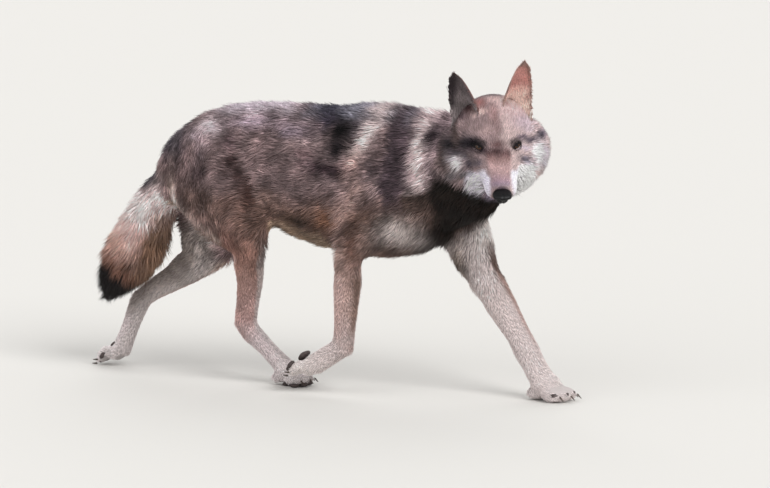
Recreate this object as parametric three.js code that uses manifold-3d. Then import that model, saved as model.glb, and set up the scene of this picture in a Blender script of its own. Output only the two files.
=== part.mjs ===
// A grey wolf at a trot, its head lowered and turned to the right: a still, life-size model.
// Millimetres. +X is the way the wolf travels, +Y its left side, +Z up, and the floor is z = 0.
// Every outline is that of the winter coat, out to the tips of the hair.
// Flesh is lofted: oval sections carried along the spine or along a limb's bones, joined into
// whole limbs, and then parted again with cuts a third of a millimetre wide.

import * as THREE from "three";
import { mergeVertices } from "three/addons/utils/BufferGeometryUtils.js";
import Module from "manifold-3d";

const wasm = await Module();
wasm.setup();

// ---- Driving dimensions

const SCALE = 1.0; // 1 is a wolf 700 mm high at the withers; every table below is for that wolf
const GAP = 0.3; // width of the cut between two neighbouring pieces
const EYE_RADIUS = 12.5;
const CLAW_LENGTH = 18;
const CLAW_RADIUS = 3.4;

// The head's place and turn: the point midway between the eyes, then degrees.
const HEAD_AT = [563, -98, 622];
const HEAD_YAW = -55.5; // to the wolf's right
const HEAD_PITCH = 33; // nose down
const HEAD_ROLL = 1; // left ear up

// ---- Skeleton: joint centres, from the body outwards. A paw of size 1 is 75 mm wide; one that
// bears weight spreads, and a lifted one closes.

const FORE_RIGHT = {
  side: -1,
  joints: [
    [343, -67, 470], // shoulder
    [170, -84, 343], // elbow
    [157, -90, 115], // wrist
    [84, -98, 64], // knuckles
  ],
  pawSize: 0.95,
  toesYaw: 0,
  toesPitch: -140, // the lifted paw points back and down
};
const FORE_LEFT = {
  side: 1,
  joints: [
    [365, 67, 472],
    [436, 80, 289],
    [560, 68, 113],
    [605, 66, 46],
  ],
  fullness: 1.12,
  pawSize: 1.18,
  toesYaw: -2,
  toesPitch: 0,
};
const HIND_RIGHT = {
  side: -1,
  joints: [
    [-252, -54, 512], // hip
    [-80, -78, 381], // knee
    [-117, -52, 141], // hock
    [-34, -15, 42], // knuckles
  ],
  buttock: [-292, -52, 462],
  pawSize: 1.0,
  toesYaw: 3,
  toesPitch: 0,
};
const HIND_LEFT = {
  side: 1,
  joints: [
    [-252, 54, 512],
    [-250, 80, 288],
    [-452, 62, 168],
    [-505, 52, 36],
  ],
  buttock: [-322, 52, 450],
  pawSize: 0.96,
  toesYaw: 0,
  toesPitch: -133, // the toes have just pushed off
};

// ---- Girths: [place, side, fore, aft]; a place of 1.25 is a quarter of the way down bone 1

const FORE_GIRTHS = [
  [0.0, 44, 58, 55],
  [0.35, 46, 60, 72],
  [0.75, 42, 48, 60],
  [1.0, 38, 40, 44],
  [1.2, 34, 38, 38],
  [1.5, 29, 33, 33],
  [1.8, 26, 28, 27],
  [2.0, 28, 28, 31],
  [2.35, 27, 24, 29],
  [2.75, 29, 23, 30],
  [3.0, 31, 23, 30],
];
const HIND_GIRTHS = [
  [0.0, 46, 82, 78],
  [0.35, 50, 78, 84],
  [0.75, 46, 56, 66],
  [1.0, 40, 44, 56],
  [1.25, 34, 36, 46],
  [1.5, 28, 31, 38],
  [1.78, 23, 25, 35],
  [1.97, 21, 24, 38],
  [2.15, 21, 22, 34],
  [2.5, 20, 19, 27],
  [2.8, 24, 19, 26],
  [3.0, 28, 21, 25],
];
const UPPER_LEG_END = 1.22; // place of the cut below the elbow or knee
const LOWER_LEG_END = { fore: 1.93, hind: 2.08 }; // below the forearm, or below the hock
const FOOT_END = 2.86; // above the knuckles

// Rear of the thigh, from the buttock to below the calf: [side, fore, aft]
const HAMSTRING_GIRTHS = [
  [40, 44, 42],
  [42, 44, 58],
  [35, 40, 56],
  [24, 24, 42],
  [18, 18, 24],
];

// ---- Trunk, neck and tail: [x, y, z, side, up, down, narrowing towards the top]

const TRUNK = [
  [-380, 0, 442, 10, 14, 18, 0],
  [-362, 0, 450, 36, 46, 50, 0.1],
  [-328, 0, 470, 64, 86, 88, 0.22],
  [-282, 0, 492, 86, 110, 114, 0.26],
  [-220, 0, 514, 101, 130, 130, 0.22],
  [-150, 0, 528, 106, 141, 136, 0.14],
  [-75, 0, 530, 106, 147, 142, 0.1],
  [0, 0, 520, 112, 160, 171, 0.08],
  [85, 0, 508, 118, 172, 181, 0.1],
  [170, 0, 506, 119, 186, 190, 0.14],
  [250, 0, 508, 115, 187, 190, 0.16],
  [320, 0, 510, 106, 178, 178, 0.14],
  [380, 0, 512, 88, 156, 150, 0.08],
  [425, 0, 510, 60, 112, 108, 0],
  [450, 0, 506, 12, 24, 24, 0],
];
const NECK = [
  [250, 0, 530, 80, 128, 120, 0.1],
  [320, 0, 542, 102, 144, 150, 0.1],
  [380, 0, 556, 96, 136, 158, 0.06],
  [430, 0, 576, 90, 116, 158, 0.02],
  [470, -4, 602, 84, 92, 138, 0],
  [500, -8, 632, 66, 66, 100, 0],
  [516, -10, 658, 34, 34, 50, 0],
];
const TAIL = [
  [-296, 0, 548, 28, 22, 24, 0],
  [-332, 0, 508, 38, 32, 36, 0],
  [-362, 0, 458, 44, 40, 44, 0],
  [-400, 0, 390, 54, 65, 56, 0],
  [-434, 0, 322, 62, 84, 68, 0],
  [-460, 0, 270, 62, 76, 68, 0],
  [-484, 0, 228, 52, 58, 56, 0],
  [-504, 0, 194, 34, 36, 34, 0],
  [-515, 0, 170, 8, 8, 8, 0],
];
const NECK_BASE = { at: [388, -4, 548], along: [0.93, -0.06, 0.36] };
const TAIL_BLACK = { at: [-476, 0, 238], along: [-0.46, 0, -0.88] };

// ---- Head, in its own axes: x to the nose, y to its left, z up, from midway between the eyes

const EYE_AT = [9, 43, 8]; // the left eyeball's centre; the right one mirrors it

const SKULL = [
  [-144, 0, 0, 24, 24, 30, 0.1],
  [-130, 0, 0, 62, 50, 66, 0.16],
  [-98, 0, 0, 88, 68, 92, 0.2],
  [-62, 0, 0, 92, 67, 96, 0.2],
  [-28, 0, 0, 84, 54, 94, 0.2],
  [-4, 0, 0, 71, 38, 89, 0.18],
  [14, 0, -3, 60, 25, 80, 0.2],
  [34, 0, -8, 54, 17, 72, 0.26],
  [58, 0, -16, 47, 14, 63, 0.26],
  [86, 0, -24, 40, 12, 55, 0.2],
  [110, 0, -30, 36, 11, 48, 0.12],
  [127, 0, -36, 31, 10, 38, 0.06],
  [137, 0, -43, 17, 8, 22, 0.06],
];
// The ruff is a shield of hair round the cheeks and under the jaw. It leans: its lower edge is
// further forward than its upper one. Rows are [along, side, up, down] in the leaning axes.
const RUFF_AT = [-56, 7, -70];
const RUFF_NARROWING = -0.1;
const RUFF_LEAN = 35; // degrees
const RUFF = [
  [-84, 60, 52, 64],
  [-62, 104, 82, 94],
  [-36, 128, 98, 112],
  [-10, 134, 102, 118],
  [14, 125, 94, 114],
  [36, 104, 76, 104],
  [52, 76, 50, 86],
  [62, 40, 24, 52],
];
const NOSE = [
  [112, 0, -35, 14, 10, 12, 0],
  [126, 0, -36, 22, 13, 17, 0.04],
  [137, 0, -39, 23, 14, 19, 0.06],
  [145, 0, -41, 19, 12, 16, 0.06],
  [149, 0, -42, 12, 8, 10, 0.04],
];
// Mouth: the lip line falls from under the nose to the corner, and the jaw's rear edge is upright.
const MOUTH_FRONT = [150, -62];
const MOUTH_CORNER = [54, -66];
const JAW_REAR = [46, -120];
const JAW_WIDTH = 130; // more than the muzzle is wide

// Ears: base and tip in the head's axes, the way the cup opens, and the half width of its base.
const EAR_LEFT = { base: [-74, 44, 8], tip: [-112, 70, 166], opens: [0.92, 0.36, 0.1], half: 45 };
const EAR_RIGHT = {
  base: [-74, -54, 2],
  tip: [-104, -99, 141],
  opens: [0.74, -0.66, 0.1],
  half: 46,
};
const EAR_TIP = 1.5; // half width
const EAR_WALL = { base: 6.6, tip: 1.6 };
const EAR_STEPS = 7; // rings from base to tip
const EAR_ARC = 6; // facets across the back of the ear

// ---- Loft: sections carried along a smooth line

// Facets round each kind of section
const SIDES = {
  spine: 16,
  tail: 12,
  limb: 12,
  hamstring: 8,
  skull: 18,
  ruff: 18,
  nose: 12,
  eye: 12,
  ball: 8,
  claw: 4,
};

const point = ([x, y, z]) => new THREE.Vector3(x, y, z);

// Reads rows of any length as one smooth function of a place from 0 to 1.
function smoothRows(rows) {
  const curves = [];
  for (let k = 0; k < rows[0].length; k += 3) {
    const triples = rows.map((row) => point([row[k], row[k + 1] ?? 0, row[k + 2] ?? 0]));
    curves.push(new THREE.CatmullRomCurve3(triples, false, "centripetal"));
  }
  return (place) => curves.flatMap((curve) => curve.getPoint(place).toArray());
}

// Closed body from rings of points, with a pole at the middle of the first ring and of the last.
function bodyFromRings(rings) {
  const sides = rings[0].length;
  const middle = (ring) =>
    ring.reduce((sum, p) => sum.add(p), new THREE.Vector3()).divideScalar(ring.length);
  const points = [...rings.flat(), middle(rings[0]), middle(rings.at(-1))];
  const first = rings.length * sides;
  const index = [];
  for (let j = 0; j < sides; j++) {
    const next = (j + 1) % sides;
    for (let i = 0; i + 1 < rings.length; i++) {
      const [a, b] = [i * sides + j, i * sides + next];
      index.push(a, b, b + sides, a, b + sides, a + sides);
    }
    const last = (rings.length - 1) * sides;
    index.push(first, next, j, first + 1, last + j, last + next);
  }
  const geometry = new THREE.BufferGeometry().setFromPoints(points);
  return solidOf(geometry.setIndex(index));
}

function solidOf(geometry) {
  for (const name of ["normal", "uv"]) geometry.deleteAttribute(name);
  const merged = mergeVertices(geometry, 1e-4);
  const mesh = new wasm.Mesh({
    numProp: 3,
    vertProperties: merged.attributes.position.array,
    triVerts: new Uint32Array(merged.index.array),
  });
  return new wasm.Manifold(mesh);
}

// rows: [x, y, z, side, fore, aft, narrowing]. Each section is an oval across the line: `side` is
// its half width, `fore` and `aft` its reach either way in the plane of the bend.
function loft(rows, { sides = 16, perSpan = 2, grow = 0, lateral = [0, 1, 0] } = {}) {
  const read = smoothRows(rows);
  const steps = (rows.length - 1) * perSpan;
  const rings = [];
  for (let i = 0; i <= steps; i++) {
    const place = i / steps;
    const [x, y, z, side, fore, aft, narrowing = 0] = read(place);
    const before = point(read(Math.max(0, place - 0.01)));
    const along = point(read(Math.min(1, place + 0.01))).sub(before).normalize();
    const ahead = along.clone().cross(point(lateral)).normalize();
    const across = ahead.clone().cross(along);
    const beyond = i === 0 ? -grow : i === steps ? grow : 0; // the ends grow lengthways too
    const ring = [];
    for (let j = 0; j < sides; j++) {
      const turn = (2 * Math.PI * j) / sides;
      const up = Math.cos(turn);
      const reach = Math.max(1, up > 0 ? fore : aft) + grow;
      const half = (Math.max(1, side) + grow) * (1 - narrowing * up);
      const p = new THREE.Vector3(x, y, z).addScaledVector(along, beyond);
      p.addScaledVector(ahead, up * reach);
      ring.push(p.addScaledVector(across, -half * Math.sin(turn)));
    }
    rings.push(ring);
  }
  return bodyFromRings(rings);
}

// Oval ball: its three half sizes along its own axes, which the matrix then turns and places.
function ball(at, radii, matrix = new THREE.Matrix4(), grow = 0, sides = SIDES.ball) {
  const geometry = new THREE.SphereGeometry(1, sides, Math.round(sides / 2));
  geometry.scale(...radii.map((r) => r + grow));
  geometry.translate(...at).applyMatrix4(matrix);
  return solidOf(geometry);
}

const join = (...solids) => solids.reduce((sum, solid) => sum.add(solid));

// Parts a solid by a plane, with half the gap taken from each side: [behind it, beyond it].
function part(solid, at, along) {
  const normal = point(along).normalize();
  const offset = normal.dot(point(at));
  const beyond = solid.trimByPlane(normal.toArray(), offset + GAP / 2);
  const behind = solid.trimByPlane(normal.clone().negate().toArray(), GAP / 2 - offset);
  return [behind, beyond];
}

// The largest of a cut's pieces, which leaves slivers out.
function largest(solid) {
  return solid.decompose().reduce((a, b) => (a.volume() > b.volume() ? a : b));
}

const onFloor = (solid) => solid.trimByPlane([0, 0, 1], 0);

// ---- Limbs

// The point at a place such as 1.25 along a chain of joints.
function placeOn(joints, place) {
  const bone = Math.min(Math.floor(place), joints.length - 2);
  return point(joints[bone]).lerp(point(joints[bone + 1]), place - bone);
}

function limbRows({ joints, fullness = 1 }, girths) {
  return girths.map(([place, ...sizes]) => {
    const across = sizes.map((size) => size * fullness);
    return [...placeOn(joints, place).toArray(), ...across, 0, 0, 0];
  });
}

function cutLimb(limb, joints, place) {
  const along = placeOn(joints, place + 0.06).sub(placeOn(joints, place - 0.06));
  return part(limb, placeOn(joints, place).toArray(), along.toArray());
}

function hamstring({ joints, buttock, side }, grow) {
  const calf = placeOn(joints, 1.18).add(point([-14, 0, 4]));
  const low = placeOn(joints, 1.46).add(point([-8, 0, 6]));
  const end = placeOn(joints, 1.68).add(point([-6, 0, 4]));
  const middle = point(buttock).lerp(calf, 0.52).add(point([0, side * 8, -4]));
  const line = [point(buttock), middle, calf, low, end];
  return loft(
    line.map((p, i) => [...p.toArray(), ...HAMSTRING_GIRTHS[i], 0, 0, 0]),
    { sides: SIDES.hamstring, grow },
  );
}

// ---- Paws, in axes of their own: x to the toes, y to the left, z up, from the knuckles

const TOES = [
  { name: "inner", at: [28, 26, -25], radii: [25, 12, 16], yaw: 9 },
  { name: "second", at: [42, 12, -24], radii: [27, 13, 17], yaw: 3 },
  { name: "third", at: [42, -12, -24], radii: [27, 13, 17], yaw: -3 },
  { name: "outer", at: [28, -26, -25], radii: [25, 12, 16], yaw: -9 },
];
const CLAW_DROP = 34; // degrees below the toe's own line
const KNUCKLES = { at: [4, 0, -6], radii: [33, 33, 25] };
const HEEL_PAD = { at: [-12, 0, -25], radii: [28, 26, 15] };

const radians = THREE.MathUtils.degToRad;

function pawMatrix({ joints, toesYaw, toesPitch, pawSize }) {
  const turn = new THREE.Euler(0, -radians(toesPitch), radians(toesYaw), "ZYX");
  const place = new THREE.Matrix4().makeRotationFromEuler(turn).setPosition(point(joints.at(-1)));
  return place.scale(new THREE.Vector3(pawSize, pawSize, pawSize));
}

function toeMatrix(limb, toe) {
  const turn = new THREE.Matrix4().makeRotationZ(radians(toe.yaw)).setPosition(point(toe.at));
  return turn.premultiply(pawMatrix(limb));
}

// Knuckles and toes, with the heel pad of a paw that is put down; grown by a gap to cut round it.
function paw(limb, grow = 0) {
  const rear = limb.toesPitch === 0 ? [KNUCKLES, HEEL_PAD] : [KNUCKLES];
  const balls = rear.map(({ at, radii }) => ball(at, radii, pawMatrix(limb), grow));
  const toes = TOES.map((toe) => ball([0, 0, 0], toe.radii, toeMatrix(limb, toe), grow));
  return join(...balls, ...toes);
}

const CLAW_SET_BACK = 7; // of the claw's root behind the toe's end
const CLAW_SPANS = 2;

// Claw: a horn that tapers and curves down from the end of its toe.
function claw(limb, toe) {
  const rows = [];
  for (let i = 0; i <= CLAW_SPANS; i++) {
    const share = i / CLAW_SPANS;
    const drop = radians(CLAW_DROP * (0.35 + 0.65 * share));
    const reach = CLAW_LENGTH * share;
    const radius = CLAW_RADIUS * (1 - 0.75 * share);
    const ahead = toe.radii[0] - CLAW_SET_BACK + reach * Math.cos(drop);
    const at = point([ahead, 0, 2 - reach * Math.sin(drop)]).applyMatrix4(toeMatrix(limb, toe));
    rows.push([...at.toArray(), radius * 0.75, radius, radius, 0, 0, 0]);
  }
  return loft(rows, { sides: SIDES.claw, perSpan: 1 });
}

// ---- Head

function headMatrix() {
  const turn = new THREE.Euler(radians(HEAD_ROLL), radians(HEAD_PITCH), radians(HEAD_YAW), "ZYX");
  return new THREE.Matrix4().makeRotationFromEuler(turn).setPosition(point(HEAD_AT));
}

const inHead = (solid) => solid.transform(headMatrix().elements);

function ruff(grow) {
  const lean = new THREE.Matrix4().makeRotationY(-radians(RUFF_LEAN)).setPosition(point(RUFF_AT));
  const rows = RUFF.map(([along, ...sizes]) => narrowed([along, 0, 0, ...sizes, RUFF_NARROWING]));
  return loft(rows, { sides: SIDES.ruff, perSpan: 1, grow }).transform(lean.elements);
}

// Upright wedge below the lip line: the lower jaw is what of the muzzle lies in it.
function jawWedge(grow) {
  const beyond = MOUTH_FRONT[0] + 20; // clear of the muzzle's end
  const outline = new THREE.Shape();
  outline.moveTo(beyond, MOUTH_FRONT[1] + grow);
  outline.lineTo(MOUTH_CORNER[0], MOUTH_CORNER[1] + grow);
  outline.lineTo(JAW_REAR[0] - grow, MOUTH_CORNER[1] - 10);
  outline.lineTo(JAW_REAR[0] - grow, JAW_REAR[1]);
  outline.lineTo(beyond, JAW_REAR[1]);
  const block = new THREE.ExtrudeGeometry(outline, { depth: JAW_WIDTH, bevelEnabled: false });
  block.translate(0, 0, -JAW_WIDTH / 2).rotateX(Math.PI / 2);
  return solidOf(block);
}

// Ear: a pointed cup. Each ring is a crescent, its outer arc the back of the ear and its inner
// arc the hollow; the cup is deepest near the base and flattens towards the tip.
function ear({ base, tip, opens, half }) {
  const rise = point(tip).sub(point(base));
  const length = rise.length();
  rise.normalize();
  const front = point(opens);
  front.addScaledVector(rise, -front.dot(rise)).normalize();
  const across = front.clone().cross(rise);
  const rings = [];
  for (let i = 0; i <= EAR_STEPS; i++) {
    const height = i / EAR_STEPS;
    const taper = Math.sqrt(1 - height ** 1.9);
    const width = Math.max(EAR_TIP, half * taper * (1 - 0.12 * height));
    const depth = Math.max(EAR_TIP, half * 0.86 * taper ** 1.25);
    const wall = EAR_WALL.tip + (EAR_WALL.base - EAR_WALL.tip) * (1 - height);
    const hollow = Math.min(1, height * 4 + 0.05); // the cup is shallow only at the very base
    const centre = point(base).addScaledVector(rise, length * height);
    const arc = (side, deep) =>
      Array.from({ length: EAR_ARC + 1 }, (_, k) => {
        const turn = Math.PI * (k / EAR_ARC - 0.5);
        const p = centre.clone().addScaledVector(across, side * Math.sin(turn));
        return p.addScaledVector(front, -deep * Math.cos(turn) + depth * 0.35);
      });
    const outer = arc(width, depth);
    const inner = arc(width - wall * 0.5, Math.max(0.3, depth - wall) * hollow).slice(1, -1);
    rings.push([...outer, ...inner.reverse()]);
  }
  return bodyFromRings(rings);
}

// ---- The whole wolf, parted

const nodes = new Map();
const keep = (name, solid, finish) => nodes.set(name, { solid, finish });

// Pads a row of seven numbers, so that it reads as three triples.
function narrowed(row) {
  return [...row, 0, 0];
}

const spine = (rows, grow) => {
  return loft(rows.map(narrowed), { sides: SIDES.spine, perSpan: 1, grow });
};
const tailWhole = loft(TAIL.map(narrowed), { sides: SIDES.tail });

let body = join(spine(TRUNK, 0), spine(NECK, 0));
const bodyGrown = join(spine(TRUNK, GAP), spine(NECK, GAP));

const SLEEVE = 12; // how far round a limb's own flesh the trunk belongs to its upper leg
const MID_PLANE_CLEARANCE = 16; // from the wolf's middle to an upper leg
const CLEARANCE = 0.01; // of a bone, between a cut end and what meets it
const LIMBS = {
  fore: { girths: FORE_GIRTHS, names: ["upper_arm", "forearm", "pastern"] },
  hind: { girths: HIND_GIRTHS, names: ["thigh", "shank", "hind_foot"] },
};
const taken = []; // the upper legs, a gap larger

// A limb's rows along its bones, and on a hind limb the hamstring too.
function flesh(kind, limb, girths, grow, sleeve = 0) {
  const rows = limbRows(limb, girths);
  const bones = loft(rows, { sides: SIDES.limb, perSpan: 1, grow: grow + sleeve });
  return kind === "hind" ? join(bones, hamstring(limb, grow)) : bones;
}

// Cuts the upper leg out of the trunk: all of the trunk in a sleeve round the limb is the leg's.
function takeUpperLeg(kind, limb) {
  const { girths } = LIMBS[kind];
  const inward = [0, limb.side, 0];
  const atCut = girths.find(([place]) => place >= UPPER_LEG_END).slice(1);
  const upperGirths = girths.filter(([place]) => place < UPPER_LEG_END);
  upperGirths.push([UPPER_LEG_END, ...atCut]);
  const sleeve = (grow) => {
    const whole = flesh(kind, limb, upperGirths, grow, SLEEVE);
    return whole.trimByPlane(inward, MID_PLANE_CLEARANCE - grow);
  };
  const own = cutLimb(flesh(kind, limb, girths, 0), limb.joints, UPPER_LEG_END)[0];
  const end = UPPER_LEG_END + CLEARANCE;
  const grown = cutLimb(flesh(kind, limb, girths, GAP), limb.joints, end)[0];
  taken.push(grown);
  const upper = join(body.intersect(sleeve(0)), own.trimByPlane(inward, MID_PLANE_CLEARANCE));
  const room = grown.trimByPlane(inward, MID_PLANE_CLEARANCE - GAP);
  body = body.subtract(join(sleeve(GAP), room));
  return upper;
}

function addLeg(kind, limb) {
  const { girths, names } = LIMBS[kind];
  const { joints, side } = limb;
  const where = side > 0 ? "left" : "right";
  const below = cutLimb(flesh(kind, limb, girths, 0), joints, UPPER_LEG_END)[1];
  const [lower, rest] = cutLimb(below.subtract(bodyGrown), joints, LOWER_LEG_END[kind]);
  const [foot, end] = cutLimb(rest, joints, FOOT_END);
  const footGrown = cutLimb(flesh(kind, limb, girths, GAP), joints, FOOT_END + CLEARANCE)[0];
  const toes = onFloor(paw(limb)).subtract(footGrown);
  keep(`${names[0]}_${where}`, largest(takeUpperLeg(kind, limb)), "flank");
  keep(`${names[1]}_${where}`, largest(lower), "leg");
  keep(`${names[2]}_${where}`, largest(foot), "leg");
  keep(`${kind}_paw_${where}`, largest(join(toes, onFloor(end))), "leg");
  for (const toe of TOES) {
    const horn = onFloor(claw(limb, toe)).subtract(paw(limb, GAP));
    keep(`claw_${kind}_${where}_${toe.name}`, largest(horn), "claw");
  }
}

addLeg("fore", FORE_RIGHT);
addLeg("fore", FORE_LEFT);
addLeg("hind", HIND_RIGHT);
addLeg("hind", HIND_LEFT);

const tailCut = tailWhole.subtract(join(bodyGrown, ...taken));
const [tail, tailTip] = part(largest(tailCut), TAIL_BLACK.at, TAIL_BLACK.along);
keep("tail", tail, "tail");
keep("tail_tip", tailTip, "tail_tip");

// Head: skull, muzzle and ruff together, less the nose, the eyes and the lower jaw.
const headWhole = (grow) => {
  const skull = loft(SKULL.map(narrowed), { sides: SIDES.skull, perSpan: 1, grow });
  return join(skull, ruff(grow));
};
const nose = (grow) => loft(NOSE.map(narrowed), { sides: SIDES.nose, perSpan: 1, grow });
const eye = (side, grow) => {
  const at = [EYE_AT[0], side * EYE_AT[1], EYE_AT[2]];
  const radii = [EYE_RADIUS, EYE_RADIUS, EYE_RADIUS];
  return ball(at, radii, new THREE.Matrix4(), grow, SIDES.eye);
};
const face = headWhole(0).subtract(join(nose(GAP), eye(1, GAP), eye(-1, GAP)));
keep("head", largest(inHead(face.subtract(jawWedge(GAP)))), "head");
keep("lower_jaw", largest(inHead(face.intersect(jawWedge(0)))), "jaw");
keep("nose", inHead(nose(0)), "nose");
keep("eye_left", inHead(eye(1, 0)), "eye");
keep("eye_right", inHead(eye(-1, 0)), "eye");

const headGrown = inHead(headWhole(GAP));
keep("ear_left", largest(inHead(ear(EAR_LEFT)).subtract(headGrown)), "ear");
keep("ear_right", largest(inHead(ear(EAR_RIGHT)).subtract(headGrown)), "ear");

const [trunk, neckAll] = part(body, NECK_BASE.at, NECK_BASE.along);
keep("trunk", largest(trunk), "back");
keep("neck", largest(neckAll.subtract(headGrown)), "neck");

// ---- Finishes and the group

const FINISHES = {
  back: { color: 0x5d544f, roughness: 0.95 },
  flank: { color: 0x7b675c, roughness: 0.95 },
  neck: { color: 0x8d7b6d, roughness: 0.95 },
  head: { color: 0x96857b, roughness: 0.95 },
  jaw: { color: 0xd8d2cc, roughness: 0.95 },
  ear: { color: 0x8f6e5c, roughness: 0.95 },
  leg: { color: 0xab9489, roughness: 0.95 },
  tail: { color: 0xa5836a, roughness: 0.95 },
  tail_tip: { color: 0x24201f, roughness: 0.95 },
  nose: { color: 0x17161a, roughness: 0.4 },
  eye: { color: 0x8a5a1e, roughness: 0.1 },
  claw: { color: 0x2b2624, roughness: 0.45 },
};
const materials = Object.fromEntries(
  Object.entries(FINISHES).map(([name, look]) => [
    name,
    new THREE.MeshStandardMaterial({ name, metalness: 0, ...look }),
  ]),
);

function meshOf(name, { solid, finish }) {
  const { numProp, vertProperties, triVerts } = solid.getMesh();
  const places = new Float32Array((vertProperties.length / numProp) * 3);
  for (let i = 0; i * 3 < places.length; i++) {
    places.set(vertProperties.subarray(i * numProp, i * numProp + 3), i * 3);
  }
  const geometry = new THREE.BufferGeometry();
  geometry.setAttribute("position", new THREE.BufferAttribute(places, 3));
  geometry.setIndex(new THREE.BufferAttribute(triVerts, 1));
  geometry.computeVertexNormals();
  const mesh = new THREE.Mesh(geometry, materials[finish]);
  mesh.name = name;
  return mesh;
}

const wolf = new THREE.Group();
for (const [name, node] of nodes) wolf.add(meshOf(name, node));
wolf.scale.setScalar(SCALE);

// The origin is on the floor, under the middle of the wolf's bounding box.
const box = new THREE.Box3().setFromObject(wolf);
const middle = box.getCenter(new THREE.Vector3());
wolf.position.set(-middle.x, -middle.y, 0);

export default wolf;
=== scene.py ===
"""A life-size grey wolf at a trot, head lowered and turned: skin, coat, eyes, nose, claws, stage.

One skin takes the place of the solids of flesh and lies inside them by the coat's depth. The coat
is many thin tufts of solid mesh that grow from it and lie the way the hair lies.
"""

import bmesh
import bpy
import numpy as np
from bpy.props import FloatProperty, FloatVectorProperty, IntProperty, PointerProperty
from bpy.types import Operator, Panel, PropertyGroup

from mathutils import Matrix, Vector


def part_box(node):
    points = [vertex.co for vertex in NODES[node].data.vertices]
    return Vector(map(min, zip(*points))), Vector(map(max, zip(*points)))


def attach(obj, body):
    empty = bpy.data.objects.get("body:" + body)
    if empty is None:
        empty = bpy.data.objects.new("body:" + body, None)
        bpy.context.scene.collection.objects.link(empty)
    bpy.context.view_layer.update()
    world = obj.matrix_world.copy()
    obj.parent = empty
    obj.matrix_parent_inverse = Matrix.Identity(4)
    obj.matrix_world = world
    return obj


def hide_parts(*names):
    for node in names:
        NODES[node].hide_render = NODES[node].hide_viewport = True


bl_info = {
    "name": "Trotting wolf",
    "version": (1, 0, 0),
    "blender": (4, 5, 0),
    "location": "View3D > Sidebar > Wolf",
    "description": "Builds the skin, coat and face of a still, life-size grey wolf",
    "category": "Add Mesh",
}

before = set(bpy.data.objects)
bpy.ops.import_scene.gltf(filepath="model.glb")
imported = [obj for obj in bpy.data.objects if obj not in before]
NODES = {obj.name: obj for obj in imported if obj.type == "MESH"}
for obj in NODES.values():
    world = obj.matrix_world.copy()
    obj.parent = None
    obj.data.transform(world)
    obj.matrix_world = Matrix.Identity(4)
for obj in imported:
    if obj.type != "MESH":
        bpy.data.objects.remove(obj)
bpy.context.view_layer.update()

MM = 0.001
SIDES = ("left", "right")
LEGS = [(kind, side) for kind in ("fore", "hind") for side in SIDES]
LEG_NODES = {
    "fore": ("upper_arm", "forearm", "pastern", "fore_paw"),
    "hind": ("thigh", "shank", "hind_foot", "hind_paw"),
}
LEG_GIRTHS = {  # radii at the ends of a leg's bones, from the body outwards
    "fore": (0.06, 0.04, 0.028, 0.028, 0.03),
    "hind": (0.085, 0.042, 0.026, 0.026, 0.03),
}


# ---- Numbers and colours


def unit(vectors):
    """Vectors scaled to a length of one."""
    return vectors / np.maximum(np.linalg.norm(vectors, axis=-1, keepdims=True), 1e-12)


def soft(x, start, end):
    """Eased step: 0 before start, 1 after end, 3t^2 - 2t^3 between."""
    t = np.clip((x - start) / (end - start), 0, 1)
    return t * t * (3 - 2 * t)


def linear(code):
    """Linear colour of a six-figure screen colour."""
    value = np.array([int(code[i : i + 2], 16) for i in (0, 2, 4)]) / 255
    return np.where(value <= 0.04045, value / 12.92, ((value + 0.055) / 1.055) ** 2.4)


def mix(first, second, share):
    """The first colour where share is 0, the second where it is 1."""
    return first + (second - first) * np.clip(share, 0, 1)[..., None]


def noise(points, scale, seed=0):
    """Smooth noise from -1 to 1: hashed values at the corners of cubes, eased between them."""
    places = points * scale + 31.7 * seed
    cell = np.floor(places).astype(np.int64)
    inside = places - cell
    inside = inside * inside * (3 - 2 * inside)
    total = np.zeros(len(points))
    for corner in np.ndindex(2, 2, 2):
        at = cell + np.array(corner)
        mixed = (at[:, 0] * 73856093) ^ (at[:, 1] * 19349663) ^ (at[:, 2] * 83492791)
        mixed = ((mixed ^ (mixed >> 13)) * 1274126177) & 0xFFFFFFFF
        value = ((mixed >> 8) & 0xFFFF) / 32767.5 - 1
        total += value * np.prod(np.where(corner, inside, 1 - inside), axis=1)
    return total


# ---- The frame: joints, bones and the head's own axes


def points_of(mesh):
    """All corners of a mesh, as rows of x, y, z."""
    flat = np.empty(len(mesh.vertices) * 3, np.float32)
    mesh.vertices.foreach_get("co", flat)
    return flat.reshape(-1, 3).astype(float)


def flip_of(side):
    """1 on the left side and -1 on the right, as the left is +Y."""
    return 1 if side == "left" else -1


def node_points(name):
    """The corners of a solid, each once."""
    return np.unique(points_of(NODES[name].data).round(4), axis=0)


def middle(name):
    """Middle of a node's box."""
    low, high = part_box(name)
    return (np.array(low) + np.array(high)) / 2


def claw_middles(kind, side):
    """Middles of a paw's four claws, from the inner to the outer one."""
    toes = ("inner", "second", "third", "outer")
    return [middle(f"claw_{kind}_{side}_{toe}") for toe in toes]


def meeting(first, second, reach=2.5 * MM):
    """Middle of the cut between neighbours: the mean of one's corners that lie at the other."""
    a, b = node_points(first), node_points(second)
    gap = np.linalg.norm(a[:, None] - b[None], axis=2).min(axis=1)
    return a[gap < reach].mean(axis=0)


def far_end(name, origin, share=0.2):
    """Mean of the corners of a solid that lie farthest from a point."""
    corners = node_points(name)
    away = np.linalg.norm(corners - origin, axis=1)
    return corners[away > np.quantile(away, 1 - share)].mean(axis=0)


MUZZLE_DROP = np.radians(20.7)  # the nose lies this far below the head's own level
EYE_IN_HEAD = np.array([9, 43, 8]) * MM


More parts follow.
